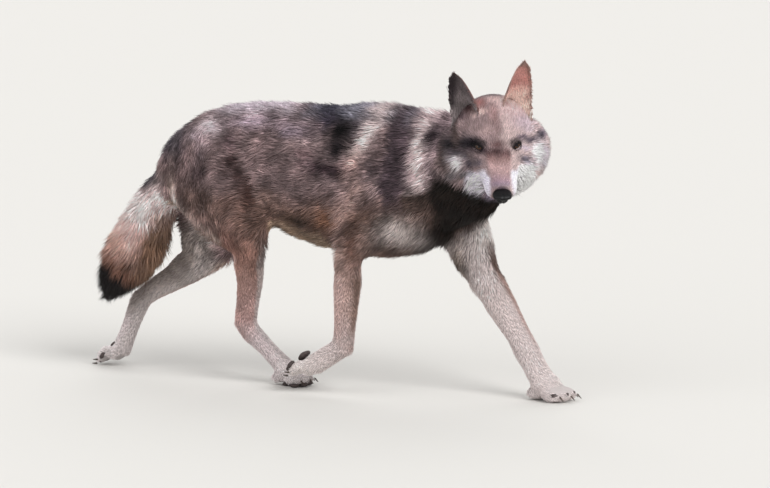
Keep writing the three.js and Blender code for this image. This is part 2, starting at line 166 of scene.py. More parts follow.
def head_axes():
    """Origin midway between the eyes, and rows forward, left and up, from the eyes and the nose."""
    eyes = [middle("eye_left"), middle("eye_right")]
    between = (eyes[0] + eyes[1]) / 2
    left = unit(eyes[0] - eyes[1])
    ahead = middle("nose") - between
    ahead = unit(ahead - (ahead @ left) * left)
    above = np.cross(ahead, left)
    forward = np.cos(MUZZLE_DROP) * ahead + np.sin(MUZZLE_DROP) * above
    up = np.cross(forward, left)
    origin = between - EYE_IN_HEAD[0] * forward - EYE_IN_HEAD[2] * up
    return origin, np.array([forward, left, up])


HEAD_AT, HEAD_AXES = head_axes()
UP = HEAD_AXES[2]


def to_head(points):
    """Places in the head's own axes, in millimetres."""
    return (points - HEAD_AT) @ HEAD_AXES.T / MM


def from_head(places):
    """Places of the head's own axes, in the model's."""
    return HEAD_AT + (np.asarray(places, float) * MM) @ HEAD_AXES


MIDLINE = float(middle("trunk")[1])
RUMP_X = -0.3856  # the hindmost point of the trunk, where x = 0 is the middle of the back
BACK_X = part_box("trunk")[0][0] - RUMP_X


def along_back(points):
    """Metres ahead of the middle of the back."""
    return points[:, 0] - BACK_X


def leg_bones(kind, side):
    """Four bones of a leg, from the body outwards: (name, start, end, radii at both)."""
    nodes = [f"{name}_{side}" for name in LEG_NODES[kind]]
    joints = [meeting(nodes[i], nodes[i + 1]) for i in range(3)]
    top = far_end(nodes[0], joints[0], 0.25)
    ends = [top, *joints, np.mean(claw_middles(kind, side), axis=0)]
    girth = LEG_GIRTHS[kind]
    return [(nodes[i], ends[i], ends[i + 1], girth[i], girth[i + 1]) for i in range(4)]


def all_bones():
    """Every bone of the body: name, start, end and radii, the start nearer the body's middle."""
    rump = meeting("tail", "trunk")
    throat = meeting("trunk", "neck")
    nape = meeting("neck", "head")
    tail_cut = meeting("tail", "tail_tip")
    tip = far_end("tail_tip", tail_cut, 0.1)
    bones = [
        ("trunk", rump + [0.12, 0, -0.03], throat - [0.06, 0, 0.02], 0.125, 0.15),
        ("neck", throat, nape, 0.13, 0.12),
        ("tail", rump, tail_cut, 0.045, 0.065),
        ("tail_tip", tail_cut, tip, 0.06, 0.02),
        ("head", from_head([-70, 0, -22]), from_head([118, 0, -36]), 0.095, 0.028),
        ("ruff", from_head([-54, -66, -70]), from_head([-54, 80, -70]), 0.088, 0.088),
    ]
    for kind, side in LEGS:
        bones += leg_bones(kind, side)
    return bones


BONES = all_bones()
BONE_NAMES = [bone[0] for bone in BONES]


def along_bone(points, start, end):
    """Share of the way along a bone, kept from 0 to 1, and the distance from it."""
    run = end - start
    share = np.clip((points - start) @ run / (run @ run), 0, 1)
    return share, np.linalg.norm(points - start - share[:, None] * run, axis=1)


def bone_shares(points, sharpness=7.0):
    """How much each bone owns a point: falls off with distance measured in the bone's radii."""
    near = []
    for _, start, end, first, last in BONES:
        share, off = along_bone(points, start, end)
        near.append(off / (first + (last - first) * share))
    weight = np.exp(-sharpness * (np.array(near) - np.min(near, axis=0)))
    return weight / weight.sum(axis=0)


# Regions of the coat: depth, tuft length and width in millimetres, tufts per square metre, how
# freely the skin is smoothed there, and how much paler the hair is than the skin under it.
REGIONS = {
    "trunk": (12.0, 32, 1.75, 89000, 1.0, 1.65),
    "neck": (14.0, 42, 2.0, 84000, 0.9, 1.6),
    "tail": (16.0, 46, 2.2, 100000, 0.6, 1.5),
    "head": (2.0, 9.0, 1.15, 250000, 0.25, 1.3),
    "ruff": (7.0, 25, 1.75, 130000, 0.6, 1.65),
    "upper_leg": (8.0, 24, 1.75, 98000, 0.9, 1.6),
    "lower_leg": (3.0, 13, 1.3, 130000, 0.16, 1.65),
    "paw": (2.2, 8, 1.2, 160000, 0.08, 1.6),
}
REGION_NAMES = list(REGIONS)
DEPTH, LENGTH, WIDTH, DENSITY, FREEDOM, PALENESS = range(6)


def region_of_bone(name):
    """Region that a bone's coat belongs to."""
    for region, parts in (
        ("upper_leg", ("upper_arm", "thigh")),
        ("lower_leg", ("forearm", "pastern", "shank", "hind_foot")),
        ("paw", ("fore_paw", "hind_paw")),
        ("tail", ("tail",)),
    ):
        if name.startswith(parts):
            return region
    return name


def region_shares(points, shares):
    """Shares of the eight regions: the bones' own, with the head's split into face and ruff."""
    total = np.zeros((len(REGIONS), len(points)))
    for k, name in enumerate(BONE_NAMES):
        total[REGION_NAMES.index(region_of_bone(name))] += shares[k]
    ruff = ruffness(to_head(points))
    head = REGION_NAMES.index("head")
    total[REGION_NAMES.index("ruff")] += total[head] * ruff
    total[head] *= 1 - ruff
    return total


def ruffness(place):
    """0 on the face and crown, 1 on the long hair that the head's own bone has under the jaw."""
    forward, left, up = place.T
    lean = 0.82 * forward + 0.57 * up
    beside = soft(np.abs(left) * 0.6 + soft(-up, 10, 46) * 60, 20, 62)
    return soft(-lean, 38, 92) * beside * soft(-forward, -42, 4)


def region_value(shares, figure):
    """A figure of the table of regions, mixed by share."""
    column = np.array([REGIONS[name][figure] for name in REGION_NAMES], float)
    return column @ shares


def bone_share(shares, *names):
    """Shares of one or more bones, added up."""
    return sum(shares[BONE_NAMES.index(name)] for name in names)


def region_share(shares, *names):
    """Shares of one or more regions, added up."""
    return sum(shares[REGION_NAMES.index(name)] for name in names)


# ---- Lie of the hair


def lie_of_hair(points, normals, shares):
    """The way the hair points: back along the body, down the legs, and out from the nose."""
    side = np.sign(points[:, 1] - MIDLINE)[:, None]
    ahead = along_back(points)
    flank = soft(0.6 - points[:, 2], 0, 0.25)[:, None]
    back = np.array([-1.0, 0, -0.22])
    back = back + np.array([0, 0, -0.55]) * flank * soft(ahead, 0.0, 0.25)[:, None]
    chest = soft(ahead, 0.32, 0.41)[:, None]
    down = np.array([-0.35, 0, -1.0])
    total = np.zeros_like(points)
    for k, (name, start, end, _, _) in enumerate(BONES):
        way = unit(end - start)
        if name == "trunk":
            way = back * (1 - chest) + down * chest
        elif name == "neck":
            way = np.array([-0.9, 0, -0.75]) + 0.1 * side * [0, 1, 0]
        elif name in ("head", "ruff"):
            way = lie_on_head(points, name == "ruff")
        elif name.startswith(("upper_arm", "thigh")):
            way = way + np.array([-0.35, 0, -0.15])
        total += shares[k][:, None] * unit(way + 0 * points)
    turn = np.cross(normals, total)
    total = total + 0.32 * noise(points, 16, 3)[:, None] * turn
    total -= np.sum(total * normals, axis=1, keepdims=True) * normals
    return unit(total + 1e-6)


RUFF_MIDDLE = np.array([-54.0, 7, -66])  # of the shield of hair, in the head's axes
RUFF_FACING = np.array([0.82, 0, 0.57])


def lie_on_head(points, in_ruff):
    """Out and back from the nose; in the ruff, out from the shield's middle, back and down."""
    place = to_head(points)
    away = unit(place - np.array([142.0, 0, -40]))
    ruff = np.ones((len(points), 1)) if in_ruff else ruffness(place)[:, None]
    radial = place - RUFF_MIDDLE
    radial = unit(radial - (radial @ RUFF_FACING)[:, None] * RUFF_FACING)
    fan = radial - 0.5 * RUFF_FACING + np.array([0, 0, -0.3])
    crown = soft(place[:, 2], 10, 40)[:, None] * np.array([-0.3, 0, 0.2])
    return (unit(away + crown) * (1 - ruff) + unit(fan) * ruff) @ HEAD_AXES


# ---- Markings


def spot(values, centres, radii):
    """Bell-shaped mask round a place: exp of minus the squared distance in radii."""
    total = sum(((v - c) / r) ** 2 for v, c, r in zip(values, centres, radii))
    return np.exp(-total)


def stripe(x, z, rows):
    """Upright stripe: its middle and its half width are read off by height."""
    heights, middles, widths = np.array(sorted(rows)).T
    return np.exp(-(((x - np.interp(z, heights, middles)) / np.interp(z, heights, widths)) ** 2))


MID_TONE = linear("6c5d62")
FACE_TONE = linear("938891")
FACE_CONTRAST = 1.15
CAST = np.array([1.03, 1.0, 0.91])  # turns the whole coat a little towards brown
CONTRAST = 1.42  # how far the trunk's marks are pushed apart, against the mixing of the hair


def layered(tint, *layers):
    """Lays colours over a tint, one after the other: each a colour's code and how much of it."""
    for code, amount in layers:
        tint = mix(tint, linear(code), amount)
    return tint


def plain(code, like):
    """One colour for every row of an array."""
    return np.tile(linear(code), (len(like), 1))


def marked(tint, marks, along, up):
    """Lays soft-edged marks over a colour, one after the other."""
    for _, code, strength, at, height, wide, high in marks:
        tint = mix(tint, linear(code), strength * spot((along, up), (at, height), (wide, high)))
    return tint


BODY_MARKS = (  # name, colour, strength, place along the back and height, spreads; in metres
    # the pale haunch marks are a painted highlight on the round of the haunch
    ("pale haunch", "b3a5b0", 0.95, -0.215, 0.610, 0.034, 0.022),
    ("pale haunch behind", "9b8d98", 0.85, -0.250, 0.585, 0.020, 0.020),
    ("pale haunch below", "a8959f", 0.90, -0.222, 0.572, 0.020, 0.020),
    ("middle of the haunch", "7d6e77", 0.70, -0.222, 0.540, 0.020, 0.014),
    ("pale loin", "9a8a98", 0.85, -0.110, 0.622, 0.060, 0.017),
    ("pale rib line", "938391", 0.85, 0.010, 0.618, 0.050, 0.016),
    ("dark before the haunch", "5e4c53", 0.80, -0.148, 0.580, 0.017, 0.018),
    # the fold marks are painted shade in the crease between the flank and the thigh
    ("top of the fold", "38292b", 0.95, -0.142, 0.538, 0.018, 0.022),
    ("dark fold", "3b2c2e", 0.90, -0.118, 0.505, 0.020, 0.035),
    ("bottom of the fold", "3f2d2c", 0.95, -0.098, 0.455, 0.020, 0.045),
    ("dark haunch", "463a41", 0.80, -0.218, 0.505, 0.026, 0.020),
    ("dark thigh", "48342f", 0.90, -0.165, 0.425, 0.034, 0.022),
    ("low flank", "857070", 0.70, -0.045, 0.445, 0.030, 0.030),
    ("dark flank", "564449", 0.75, 0.060, 0.565, 0.034, 0.016),
    ("dark band, fore end", "33262c", 0.90, 0.150, 0.542, 0.018, 0.018),
    ("dark band", "382a32", 0.95, 0.110, 0.538, 0.060, 0.021),
    ("dark belly line", "3c2f2a", 0.85, 0.020, 0.420, 0.040, 0.018),
    ("rust belly", "7a5a4c", 0.60, 0.105, 0.425, 0.030, 0.028),
    ("slate, behind the saddle", "4b4856", 0.90, 0.095, 0.662, 0.050, 0.020),
    # pale slate over the saddle: partly painted sky sheen on the top of the back
    ("slate, over the saddle", "898391", 0.90, 0.150, 0.668, 0.030, 0.018),
    ("saddle, behind", "3a333f", 0.90, 0.098, 0.640, 0.034, 0.024),
    ("saddle, before", "4a434d", 0.80, 0.176, 0.628, 0.018, 0.022),
    ("saddle", "050407", 1.00, 0.142, 0.628, 0.032, 0.028),
    ("saddle, below", "1d171d", 1.00, 0.144, 0.590, 0.024, 0.026),
)


STREAK = (  # the shoulder's pale streak: height, middle along the back, half width; metres
    (0.71, 0.232, 0.044),
    (0.67, 0.222, 0.030),
    (0.63, 0.216, 0.022),
    (0.60, 0.206, 0.020),
    (0.57, 0.188, 0.022),
    (0.53, 0.184, 0.024),
    (0.50, 0.202, 0.032),
    (0.46, 0.175, 0.032),
    (0.42, 0.146, 0.026),
    (0.38, 0.138, 0.022),
)
COLLAR_STREAK = (
    (0.68, 0.345, 0.030),
    (0.63, 0.345, 0.012),
    (0.56, 0.342, 0.030),
    (0.50, 0.345, 0.024),
)


def body_tint(points, normals):
    """Trunk and neck: grey back, black saddle, pale shoulder streak, brown belly, dark throat of
    painted shade.
    """
    fine = noise(points, 60, 1)
    broad = noise(points, 13, 2)
    x = along_back(points) + 0.010 * broad + 0.006 * fine
    z = points[:, 2] + 0.012 * noise(points, 15, 4) + 0.005 * fine
    top = soft(z, 0.625, 0.66) * soft(normals[:, 2], 0.0, 0.5)
    rump = soft(x, -0.25, -0.31) * soft(z, 0.50, 0.55)
    tint = layered(
        plain("78676c", points),
        ("8b7a80", 0.5 * soft(broad, -0.1, 0.7)),
        ("544649", 0.55 * soft(noise(points, 24, 5), 0.0, 0.8)),
        ("6b5652", 0.8 * soft(z, 0.49, 0.42) * soft(x, -0.2, -0.1)),
        ("493835", 0.75 * soft(z, 0.44, 0.39) * soft(x, -0.1, 0.0)),
        # painted sky sheen: the upward-facing top of the back behind the middle is laid paler
        ("9a8f9b", 0.85 * top * soft(x, 0.02, -0.03)),
        ("5c5863", 0.85 * top * soft(x, -0.02, 0.05)),
        ("4b4652", 0.9 * rump),
    )
    tint = marked(tint, BODY_MARKS, x, z)
    shoulder = soft(x, 0.25, 0.27) * soft(z, 0.40, 0.44) * soft(x, 0.34, 0.32)
    tint = layered(
        tint,
        ("4d4149", 0.95 * shoulder * soft(z, 0.70, 0.675)),
        ("766d78", 0.85 * spot((x, z), (0.315, 0.668), (0.032, 0.025))),
        ("463a41", 0.8 * spot((x, z), (0.238, 0.545), (0.022, 0.024))),
    )
    streak = stripe(x, z, STREAK) * (0.85 + 0.3 * fine) * soft(z, 0.33, 0.37)
    streak_tone = layered(
        linear("8f7a7c")[None], ("b8a9b0", soft(z, 0.56, 0.61)), ("a3949a", soft(z, 0.63, 0.65))
    )
    tint = mix(tint, streak_tone, np.clip(streak, 0, 1) * (0.75 + 0.25 * soft(z, 0.52, 0.6)))
    lock = np.clip(stripe(x, z, COLLAR_STREAK), 0, 1)
    collar = layered(
        plain("85747c", points),
        ("2f262d", 0.98 * spot((x, z), (0.370, 0.622), (0.036, 0.024))),
        # painted shade on the throat under the lowered head
        ("2a2225", 0.95 * spot((x, z), (0.425, 0.545), (0.030, 0.022))),
        ("c9b3bd", 0.8 * soft(z, 0.675, 0.70)),
        ("b9a9b0", 0.9 * lock * (0.7 + 0.5 * fine)),
        # painted shade: the collar darkens low down and towards the throat
        ("392f2e", soft(z, 0.515, 0.48)),
        ("251e1c", soft(z, 0.555, 0.51) * soft(x, 0.355, 0.385)),
    )
    tint = mix(tint, collar, soft(x, 0.305, 0.325))
    belly = soft(normals[:, 2], -0.35, -0.8) * soft(x, 0.26, 0.16)
    seat = soft(normals[:, 0], -0.5, -0.85) * soft(z, 0.49, 0.46)
    tint = layered(
        tint,
        # painted shade on the low chest under the throat
        ("271f1e", 0.95 * soft(z, 0.50, 0.46) * soft(x, 0.30, 0.35)),
        ("8d7c74", 0.6 * belly),
        ("cbbcc4", seat),
    )
    return MID_TONE * (tint / MID_TONE) ** CONTRAST


LEG_COLOURS = {  # at the places LEG_STEPS down the leg, counted in bones
    "fore": ("7f6a67", "a48d8c", "a8979a", "b5abb1", "c4bec4"),
    "hind": ("6c5957", "967a76", "a68c8f", "bab0b9", "c6c0c8"),
}


def graded(codes, places, at):
    """Colours read off a row of colours at given places, as places between are a mix."""
    tones = np.array([linear(code) for code in codes])
    return np.stack([np.interp(at, places, tones[:, i]) for i in range(3)], axis=1)


def along_leg(kind, side, points):
    """How far down a leg, counted in bones: the nearest bone's number and the share along it."""
    place = np.zeros(len(points))
    nearest = np.full(len(points), np.inf)
    for number, name in enumerate(LEG_NODES[kind]):
        _, start, end, first, last = BONES[BONE_NAMES.index(f"{name}_{side}")]
        share, off = along_bone(points, start, end)
        off = off / (first + (last - first) * share)
        closer = off < nearest
        place[closer] = number + share[closer]
        nearest[closer] = off[closer]
    return place
LEG_STEPS = (0.55, 1.25, 1.9, 2.3, 3.4)
THIGH_EDGE = (  # the pale edge behind the thigh: height, place along the back, half width
    (0.44, -0.31, 0.016),
    (0.42, -0.29, 0.016),
    (0.39, -0.25, 0.016),
    (0.365, -0.21, 0.016),
    (0.345, -0.175, 0.016),
)


def leg_tint(kind, side, points, normals):
    """Rust and tan on the outside, paler to the paw and on the inner and rear faces."""
    outward = normals[:, 1] * flip_of(side)
    place = along_leg(kind, side, points) + 0.12 * noise(points, 30, 7)
    tint = graded(LEG_COLOURS[kind], LEG_STEPS, place)
    x, z = along_back(points), points[:, 2]
    across = 0.89 * normals[:, 0] - 0.45 * outward + 0.12 * noise(points, 40, 19)
    inner = soft(-outward + 0.2 * noise(points, 20, 10), 0.05, 0.55)
    if kind == "fore":
        shin = soft(place, 0.95, 1.15) * soft(place, 2.15, 1.75)
        front = 0.75 if side == "right" else 0.0
        return layered(
            tint,
            # partly painted light: the foreleg's rear is laid paler
            ("bca6a9", 0.7 * shin * soft(across, -0.1, -0.6)),
            # partly painted shade: the right foreleg's front is laid darker
            ("6b5750", front * shin * soft(across, 0.0, 0.7)),
            ("4d3f3d", 0.8 * soft(place, 1.15, 0.85) * soft(x, 0.20, 0.25)),
            ("9c8785", 0.8 * spot((x, z), (0.145, 0.41), (0.022, 0.05))),
            ("6b4a40", 0.7 * spot((x, z), (0.185, 0.36), (0.018, 0.06))),
            ("c2bac1", 0.85 * inner * soft(place, 0.3, 0.6)),
            ("74675f", 0.8 * spot((x, z), (0.388, 0.305), (0.028, 0.05))),
            ("ded8de", 0.9 * spot((x, z), (0.452, 0.385), (0.02, 0.035))),
        )
    upper = layered(tint, ("4b3d3c", 0.65 * soft(noise(points, 26, 8), -0.1, 0.6)))
    rear = soft(-normals[:, 0] + 0.2 * noise(points, 20, 9), 0.45, 0.8) * soft(z, 0.49, 0.46)
    edge = stripe(x, z, THIGH_EDGE) * soft(z, 0.33, 0.35) * soft(outward, -0.3, 0.1)
    return layered(
        mix(tint, upper, soft(place, 1.0, 0.7)),
        ("86655f", 0.6 * spot((place,), (1.05,), (0.25,))),
        ("cbbcc4", 0.9 * rear * soft(place, 1.3, 1.0)),
        ("9a7672", 0.7 * spot((x, z), (-0.145, 0.335), (0.02, 0.025))),
        ("8c8789", 0.85 * inner * soft(place, 0.3, 0.6) * soft(place, 2.7, 2.1)),
        # partly painted light: the hind leg's front is laid paler
        ("aaa4aa", 0.75 * soft(across, 0.3, 0.7) * soft(place, 0.8, 1.1)),
        ("c0b0ae", 0.8 * edge),
    )


def tail_tint(points, normals):
    """Pale upper half, rust lower half, black tip; dark along the root's upper side."""
    share, beyond = (
        along_bone(points, *BONES[BONE_NAMES.index(name)][1:3])[0] for name in ("tail", "tail_tip")
    )
    share = share + 0.06 * noise(points, 26, 11)
    front = soft(normals[:, 0] + 0.25 * normals[:, 1] + 0.1 * noise(points, 30, 18), -0.25, 0.4)
    dorsal = soft(-normals[:, 0] + 0.15 * noise(points, 30, 12), 0.1, 0.8)
    below = soft(normals[:, 0], 0.25, 0.75)
    return layered(
        plain("e9d6de", points),
        ("d8babd", soft(share, 0.30, 0.55)),
        ("bb9b97", soft(share, 0.58, 0.75)),
        ("836158", soft(share, 0.75, 0.92)),
        ("87726e", 0.9 * front * soft(share, 0.08, 0.30)),
        ("64493c", 0.9 * front * soft(share, 0.34, 0.56)),
        ("3d3942", dorsal * soft(share, 0.26, 0.06)),
        ("7b6355", 0.75 * below * soft(beyond, 0.3, 0.0) * soft(share, 0.2, 0.45)),
        ("60443b", 0.7 * soft(share, 0.9, 1.0)),
        ("171315", soft(beyond + 0.1 * noise(points, 40, 13), 0.0, 0.16)),
    )


# Many marks on the right half are darker than their twins on the left: partly the coat's own
# colour, partly painted shade on that half.
FACE_MARKS = (  # name, colour, strength, how far left and how high as seen from before, spreads; mm
    ("crown, left", "cfb8c1", 0.95, 50, 94, 42, 26),
    ("crown, middle", "957b80", 0.90, -5, 76, 11, 30),
    ("forehead, middle", "8f7a80", 0.80, 2, 40, 9, 16),
    ("crown, back", "d5bcc2", 0.90, -4, 120, 24, 12),
    ("crown, back left", "dfc9d0", 0.95, 38, 114, 34, 15),
    ("ear base, left", "e6cfcd", 0.95, 66, 108, 30, 14),
    ("ear base, right", "5a4347", 0.98, -56, 92, 13, 14),
    ("ear base, inner right", "8c6466", 0.95, -34, 102, 13, 12),
    ("pale line", "d8bfc3", 1.00, -34, 84, 13, 5),
    ("pale line, outer", "b9a5ab", 0.90, -48, 73, 9, 6),
    ("temple, right", "66565e", 0.95, -74, 74, 12, 10),
    ("temple, outer right", "74626b", 0.90, -102, 46, 16, 22),
    ("forehead, right", "a69298", 0.80, -28, 38, 18, 18),
    ("forehead, left", "b7a9b8", 0.90, 72, 56, 34, 18),
    ("temple, left", "6f6572", 0.90, 120, 30, 13, 12),
    ("brow, left", "aa9dab", 0.80, 80, 38, 16, 8),
    ("eye line, left", "574f60", 0.95, 84, 14, 28, 9),
    ("eye line, outer left", "3b3645", 1.00, 113, 25, 13, 10),
    ("eye line, inner left", "5f5364", 0.90, 60, 21, 14, 6),
    ("band, right", "3f3a47", 1.00, -84, 9, 40, 18),
    ("band, outer right", "0d0b12", 1.00, -103, 5, 17, 16),
    ("band, inner right", "221b27", 1.00, -58, 9, 16, 12),
    ("below the band", "3c3644", 0.95, -88, -11, 22, 8),
    # painted shadow at the ruff's edge on the right side of the face
    ("side, right", "68636c", 0.85, -112, -30, 9, 26),
    ("cheek patch, right", "e4e0ee", 1.00, -87, -38, 10, 17),
    ("cheek patch, upper right", "b4b0be", 0.90, -98, -25, 8, 7),
    ("smear, right", "423e4b", 1.00, -62, -38, 11, 14),
    ("smear, upper right", "605c67", 0.90, -72, -22, 9, 7),
    ("smear, inner right", "716773", 0.90, -47, -37, 8, 9),
    # the jaw side marks are painted shadow at the ruff's edge on the right
    ("jaw side, right", "5f5c64", 0.95, -98, -64, 16, 14),
    ("jaw side, inner right", "716e78", 0.90, -72, -62, 10, 9),
    ("under the eye, left", "b3a8b9", 0.90, 70, -5, 20, 7),
    ("cheek patch, left", "eeecff", 1.00, 107, -18, 13, 21),
    ("cheek patch, outer left", "b0abbc", 0.80, 124, -14, 8, 20),
    ("smear, left", "534e5b", 1.00, 68, -28, 19, 9),
    ("smear, lower left", "686573", 0.95, 77, -37, 14, 7),
    ("cheek, left", "cac8dd", 0.85, 86, -50, 14, 9),
    ("cheek edge, left", "8f8e9c", 0.85, 120, -42, 10, 16),
)

# the bridge's lowest colour, just above the nose, is a painted highlight
BRIDGE_HEIGHTS = (-97, -84, -62, -48, -36, -24, -12)
BRIDGE_CODES = ("8c8098", "9c8796", "b0989f", "b69da4", "a48a8e", "7a6266", "594549")

EYE_MARKS = (  # dark rims and stop, laid over all else
    ("stop, right", "44353d", 0.95, -31, -11, 12, 8),
    ("stop, middle", "432f33", 0.98, -5, -12, 13, 7),
    ("stop, upper", "624a4e", 0.90, 0, 3, 18, 10),
    ("stop, left", "664d52", 0.80, 17, -12, 9, 8),
    # the mouth's dark lips together with the painted shadow under the nose
    ("mouth and shadow under the nose", "141216", 1.00, 12, -126, 17, 11),
    ("rim, right", "0d090f", 1.00, -53, 7, 21, 12),
    ("rim, lower right", "30262e", 0.95, -43, -9, 10, 8),
    ("rim, left", "181116", 1.00, 46, 7, 16, 8),
    ("rim, inner left", "44343b", 0.90, 37, -3, 6, 8),
)


def seen_height(forward, up):
    """How high a place in the head is as seen from before and above the face, in millimetres."""
    return 0.732 * up - 0.681 * forward


def face_tint(points, normals):
    """Rosy crown and bridge, dark bands from the eyes, white lips and cheek patches; the right half
    partly in painted shade, and painted shade under the jaw. Places are told by b, how far left of
    the midline, and by w, how high as seen from before the face."""
    place = to_head(points)
    forward, left, up = place.T
    b = left + 2.5 * noise(place, 0.035, 14) + 1.5 * noise(place, 0.12, 16)
    w = seen_height(forward, up) + 2.5 * noise(place, 0.04, 15) + 1.5 * noise(place, 0.12, 17)
    s = np.abs(b)
    edge_left = soft(w, -42, -56) * soft(b, 40, 52) * soft(b, 104, 82)
    edge_right = soft(w, -50, -66) * soft(b, -28, -38) * soft(b, -72, -56)
    # the left half is laid paler than the right: partly the coat's own colour, partly painted light
    # and shade
    tint = layered(plain("8f7e84", points), ("b9a8ae", soft(b, -10, 26)))
    tint = layered(
        marked(tint, FACE_MARKS, b, w),
        ("efedff", edge_left),
        # painted shade: the right cheek's lower edge is laid greyer than the left's
        ("cdc9dc", edge_right),
        ("8f8d9b", edge_right * soft(b, -42, -58)),
    )
    lean = soft(b, 0, 30)
    muzzle = soft(s, 20, 32) * soft(s, 72, 58) * soft(w, -62 + 10 * lean, -76 + 12 * lean)
    # the lips are laid greyer on the right as painted shade
    lips = layered(linear("c9c4d8")[None], ("dad7ea", soft(b, -20, 20)))
    low_edge = -150 + 0.68 * s
    below = soft(w, low_edge + 6, low_edge - 8)
    tint = layered(
        mix(tint, lips, muzzle),
        # painted shade low on the right side of the muzzle
        ("787580", soft(w, -92, -110) * soft(b, -34, -46)),
        # painted shade below the face's lower edge
        ("4c464a", below * soft(s, 20, 34)),
    )
    half = 27 + 0.06 * w
    bridge = soft(s, half + 8, half - 5) * soft(w, -4, -20) * soft(forward, 122, 104)
    tint = mix(tint, graded(BRIDGE_CODES, BRIDGE_HEIGHTS, w), 0.97 * bridge)
    under = soft(normals @ UP, -0.35, -0.8) * soft(up, -60, -85)
    rear = soft(forward, -86, -116) * soft(up, -80, -20)
    blot = spot((along_back(points), points[:, 2]), (0.378, 0.622), (0.034, 0.020))
    behind = soft(normals @ RUFF_FACING, -0.15, -0.5) * soft(forward, -20, -60)
    tint = layered(
        marked(tint, EYE_MARKS, b, w),
        # painted shade on the downward-facing underside of the jaw: grey at the front, near black
        # below the lower edge further back
        ("968e92", under * soft(forward, 20, 60)),
        ("2b2524", under * below * soft(forward, 70, 20)),
        ("77666c", rear),
        ("2c232a", blot * soft(left, -60, -80)),
        ("5a4c4c", behind * soft(up, 20, -20)),
    )
    return np.minimum(FACE_TONE * (tint / FACE_TONE) ** FACE_CONTRAST, linear("f2f1fc"))


# the right ear's colours are laid darker than the left's as painted shade, and shade is how much
# painted shade lies in the cup
EARS = {  # the way each cup opens, in the head, and the colours of its parts
    "left": {
        "opens": (0.92, 0.36, 0.1),
        "inside": "bb8987",
        "low": "dcc0be",
        "back": "a58783",
        "rim": "cdbcbc",
        "shade": 0.15,
    },
    "right": {
        "opens": (0.74, -0.66, 0.1),
        "inside": "625a60",
        "low": "968d94",
        "back": "7d5f5f",
        "rim": "54484b",
        "shade": 0.85,
    },
}


def ear_axes(side):
    """Base, tip and the way the cup opens, from the ear's own solid."""
    corners = node_points(f"ear_{side}")
    tip = corners[np.argmax((corners - HEAD_AT) @ UP)]
    reach = np.linalg.norm(corners - tip, axis=1)
    base = corners[reach > np.quantile(reach, 0.8)].mean(axis=0)
    rise = unit(tip - base)
    opens = np.array(EARS[side]["opens"]) @ HEAD_AXES
    opens = unit(opens - (opens @ rise) * rise)
    return base, tip, opens


def ear_tint(side, points, normals):
    """Inside of the cup, back, and a rim where the one turns into the other."""
    base, tip, opens = ear_axes(side)
    look = EARS[side]
    share, _ = along_bone(points, base, tip)
    facing = normals @ opens
    pit = (points - base) @ opens
    outer = (points - base) @ HEAD_AXES[1] * flip_of(side)
    shade = look["shade"]
    inner = layered(
        plain(look["inside"], points),
        (look["low"], soft(share, 0.62, 0.32)),
        # painted shade in the cup: towards its outer side, and deep down in it
        ("2b242a", shade * soft(outer, -0.004, 0.014) * soft(share, 0.1, 0.3)),
        ("3a3133", 0.7 * shade * soft(share, 0.5, 0.2) * soft(pit, 0.0, -0.02)),
    )
    if side == "left":
        # painted shade along a fold of the left cup
        fold = np.exp(-(((outer - 0.10 * (share - 0.30)) / 0.005) ** 2))
        fold = fold * soft(share, 0.22, 0.3) * soft(share, 0.58, 0.5)
        inner = layered(inner, ("6e4a48", 0.75 * fold))
    tint = mix(plain(look["back"], points), inner, soft(facing, 0.05, 0.35))
    rim = np.exp(-(((facing - 0.05) / 0.3) ** 2)) * soft(share, 0.1, 0.3)
    tint = layered(tint, (look["rim"], 0.85 * rim))
    return mix(tint, linear(look["rim"]) * 0.8, 0.6 * soft(share, 0.85, 1.0))


def markings(points, normals, shares, place):
    """Colour of the coat at a point of the skin: each bone's own colours, mixed by share."""
    head = bone_share(shares, "head", "ruff")
    tail = bone_share(shares, "tail", "tail_tip")
    tint = body_tint(points, normals)
    low = soft(points[:, 2], 0.5, 0.42)
    for kind, side in LEGS:
        names = [f"{name}_{side}" for name in LEG_NODES[kind]]
        upper = bone_share(shares, names[0])
        amount = np.clip(bone_share(shares, *names) - upper, 0, 1) + upper * (0.12 + 0.88 * low)
        tint = mix(tint, leg_tint(kind, side, points, normals), amount)
    x, z = along_back(points), points[:, 2] + 0.006 * noise(points, 40, 20)
    breast = spot((x, z), (0.302, 0.392), (0.046, 0.034)) * soft(z, 0.46, 0.43)
    tint = layered(tint, ("b9b1b6", 0.9 * (breast * soft(x, 0.38, 0.34))))
    tint = mix(tint, tail_tint(points, normals), soft(tail, 0.3, 0.7))
    forward, left, up = to_head(points).T
    height = seen_height(forward, up) - 0.68 * np.abs(left)
    facing = soft(forward, -85, -60) * soft(height, -154, -144)
    amount = np.maximum(soft(head, 0.35, 0.65), facing * soft(head, 0.02, 0.12))
    tint = mix(tint, face_tint(points, normals), amount)
    for number, side in enumerate(SIDES, start=1):
        ear = place == number
        tint[ear] = ear_tint(side, points[ear], normals[ear])
    return tint * CAST


# ---- Meshes


def new_object(name, points, faces, smooth=True):
    """An object at the origin from an array of points and one of triangles or quads."""
    mesh = bpy.data.meshes.new(name)
    sides = faces.shape[1]
    mesh.vertices.add(len(points))
    mesh.vertices.foreach_set("co", np.ascontiguousarray(points, np.float32).ravel())
    mesh.loops.add(faces.size)
    mesh.loops.foreach_set("vertex_index", np.ascontiguousarray(faces, np.int32).ravel())
    mesh.polygons.add(len(faces))
    mesh.polygons.foreach_set("loop_start", np.arange(0, faces.size, sides, dtype=np.int32))
    mesh.polygons.foreach_set("use_smooth", np.full(len(faces), smooth))
    mesh.update(calc_edges=True)
    thing = bpy.data.objects.new(name, mesh)
    bpy.context.scene.collection.objects.link(thing)
    return thing


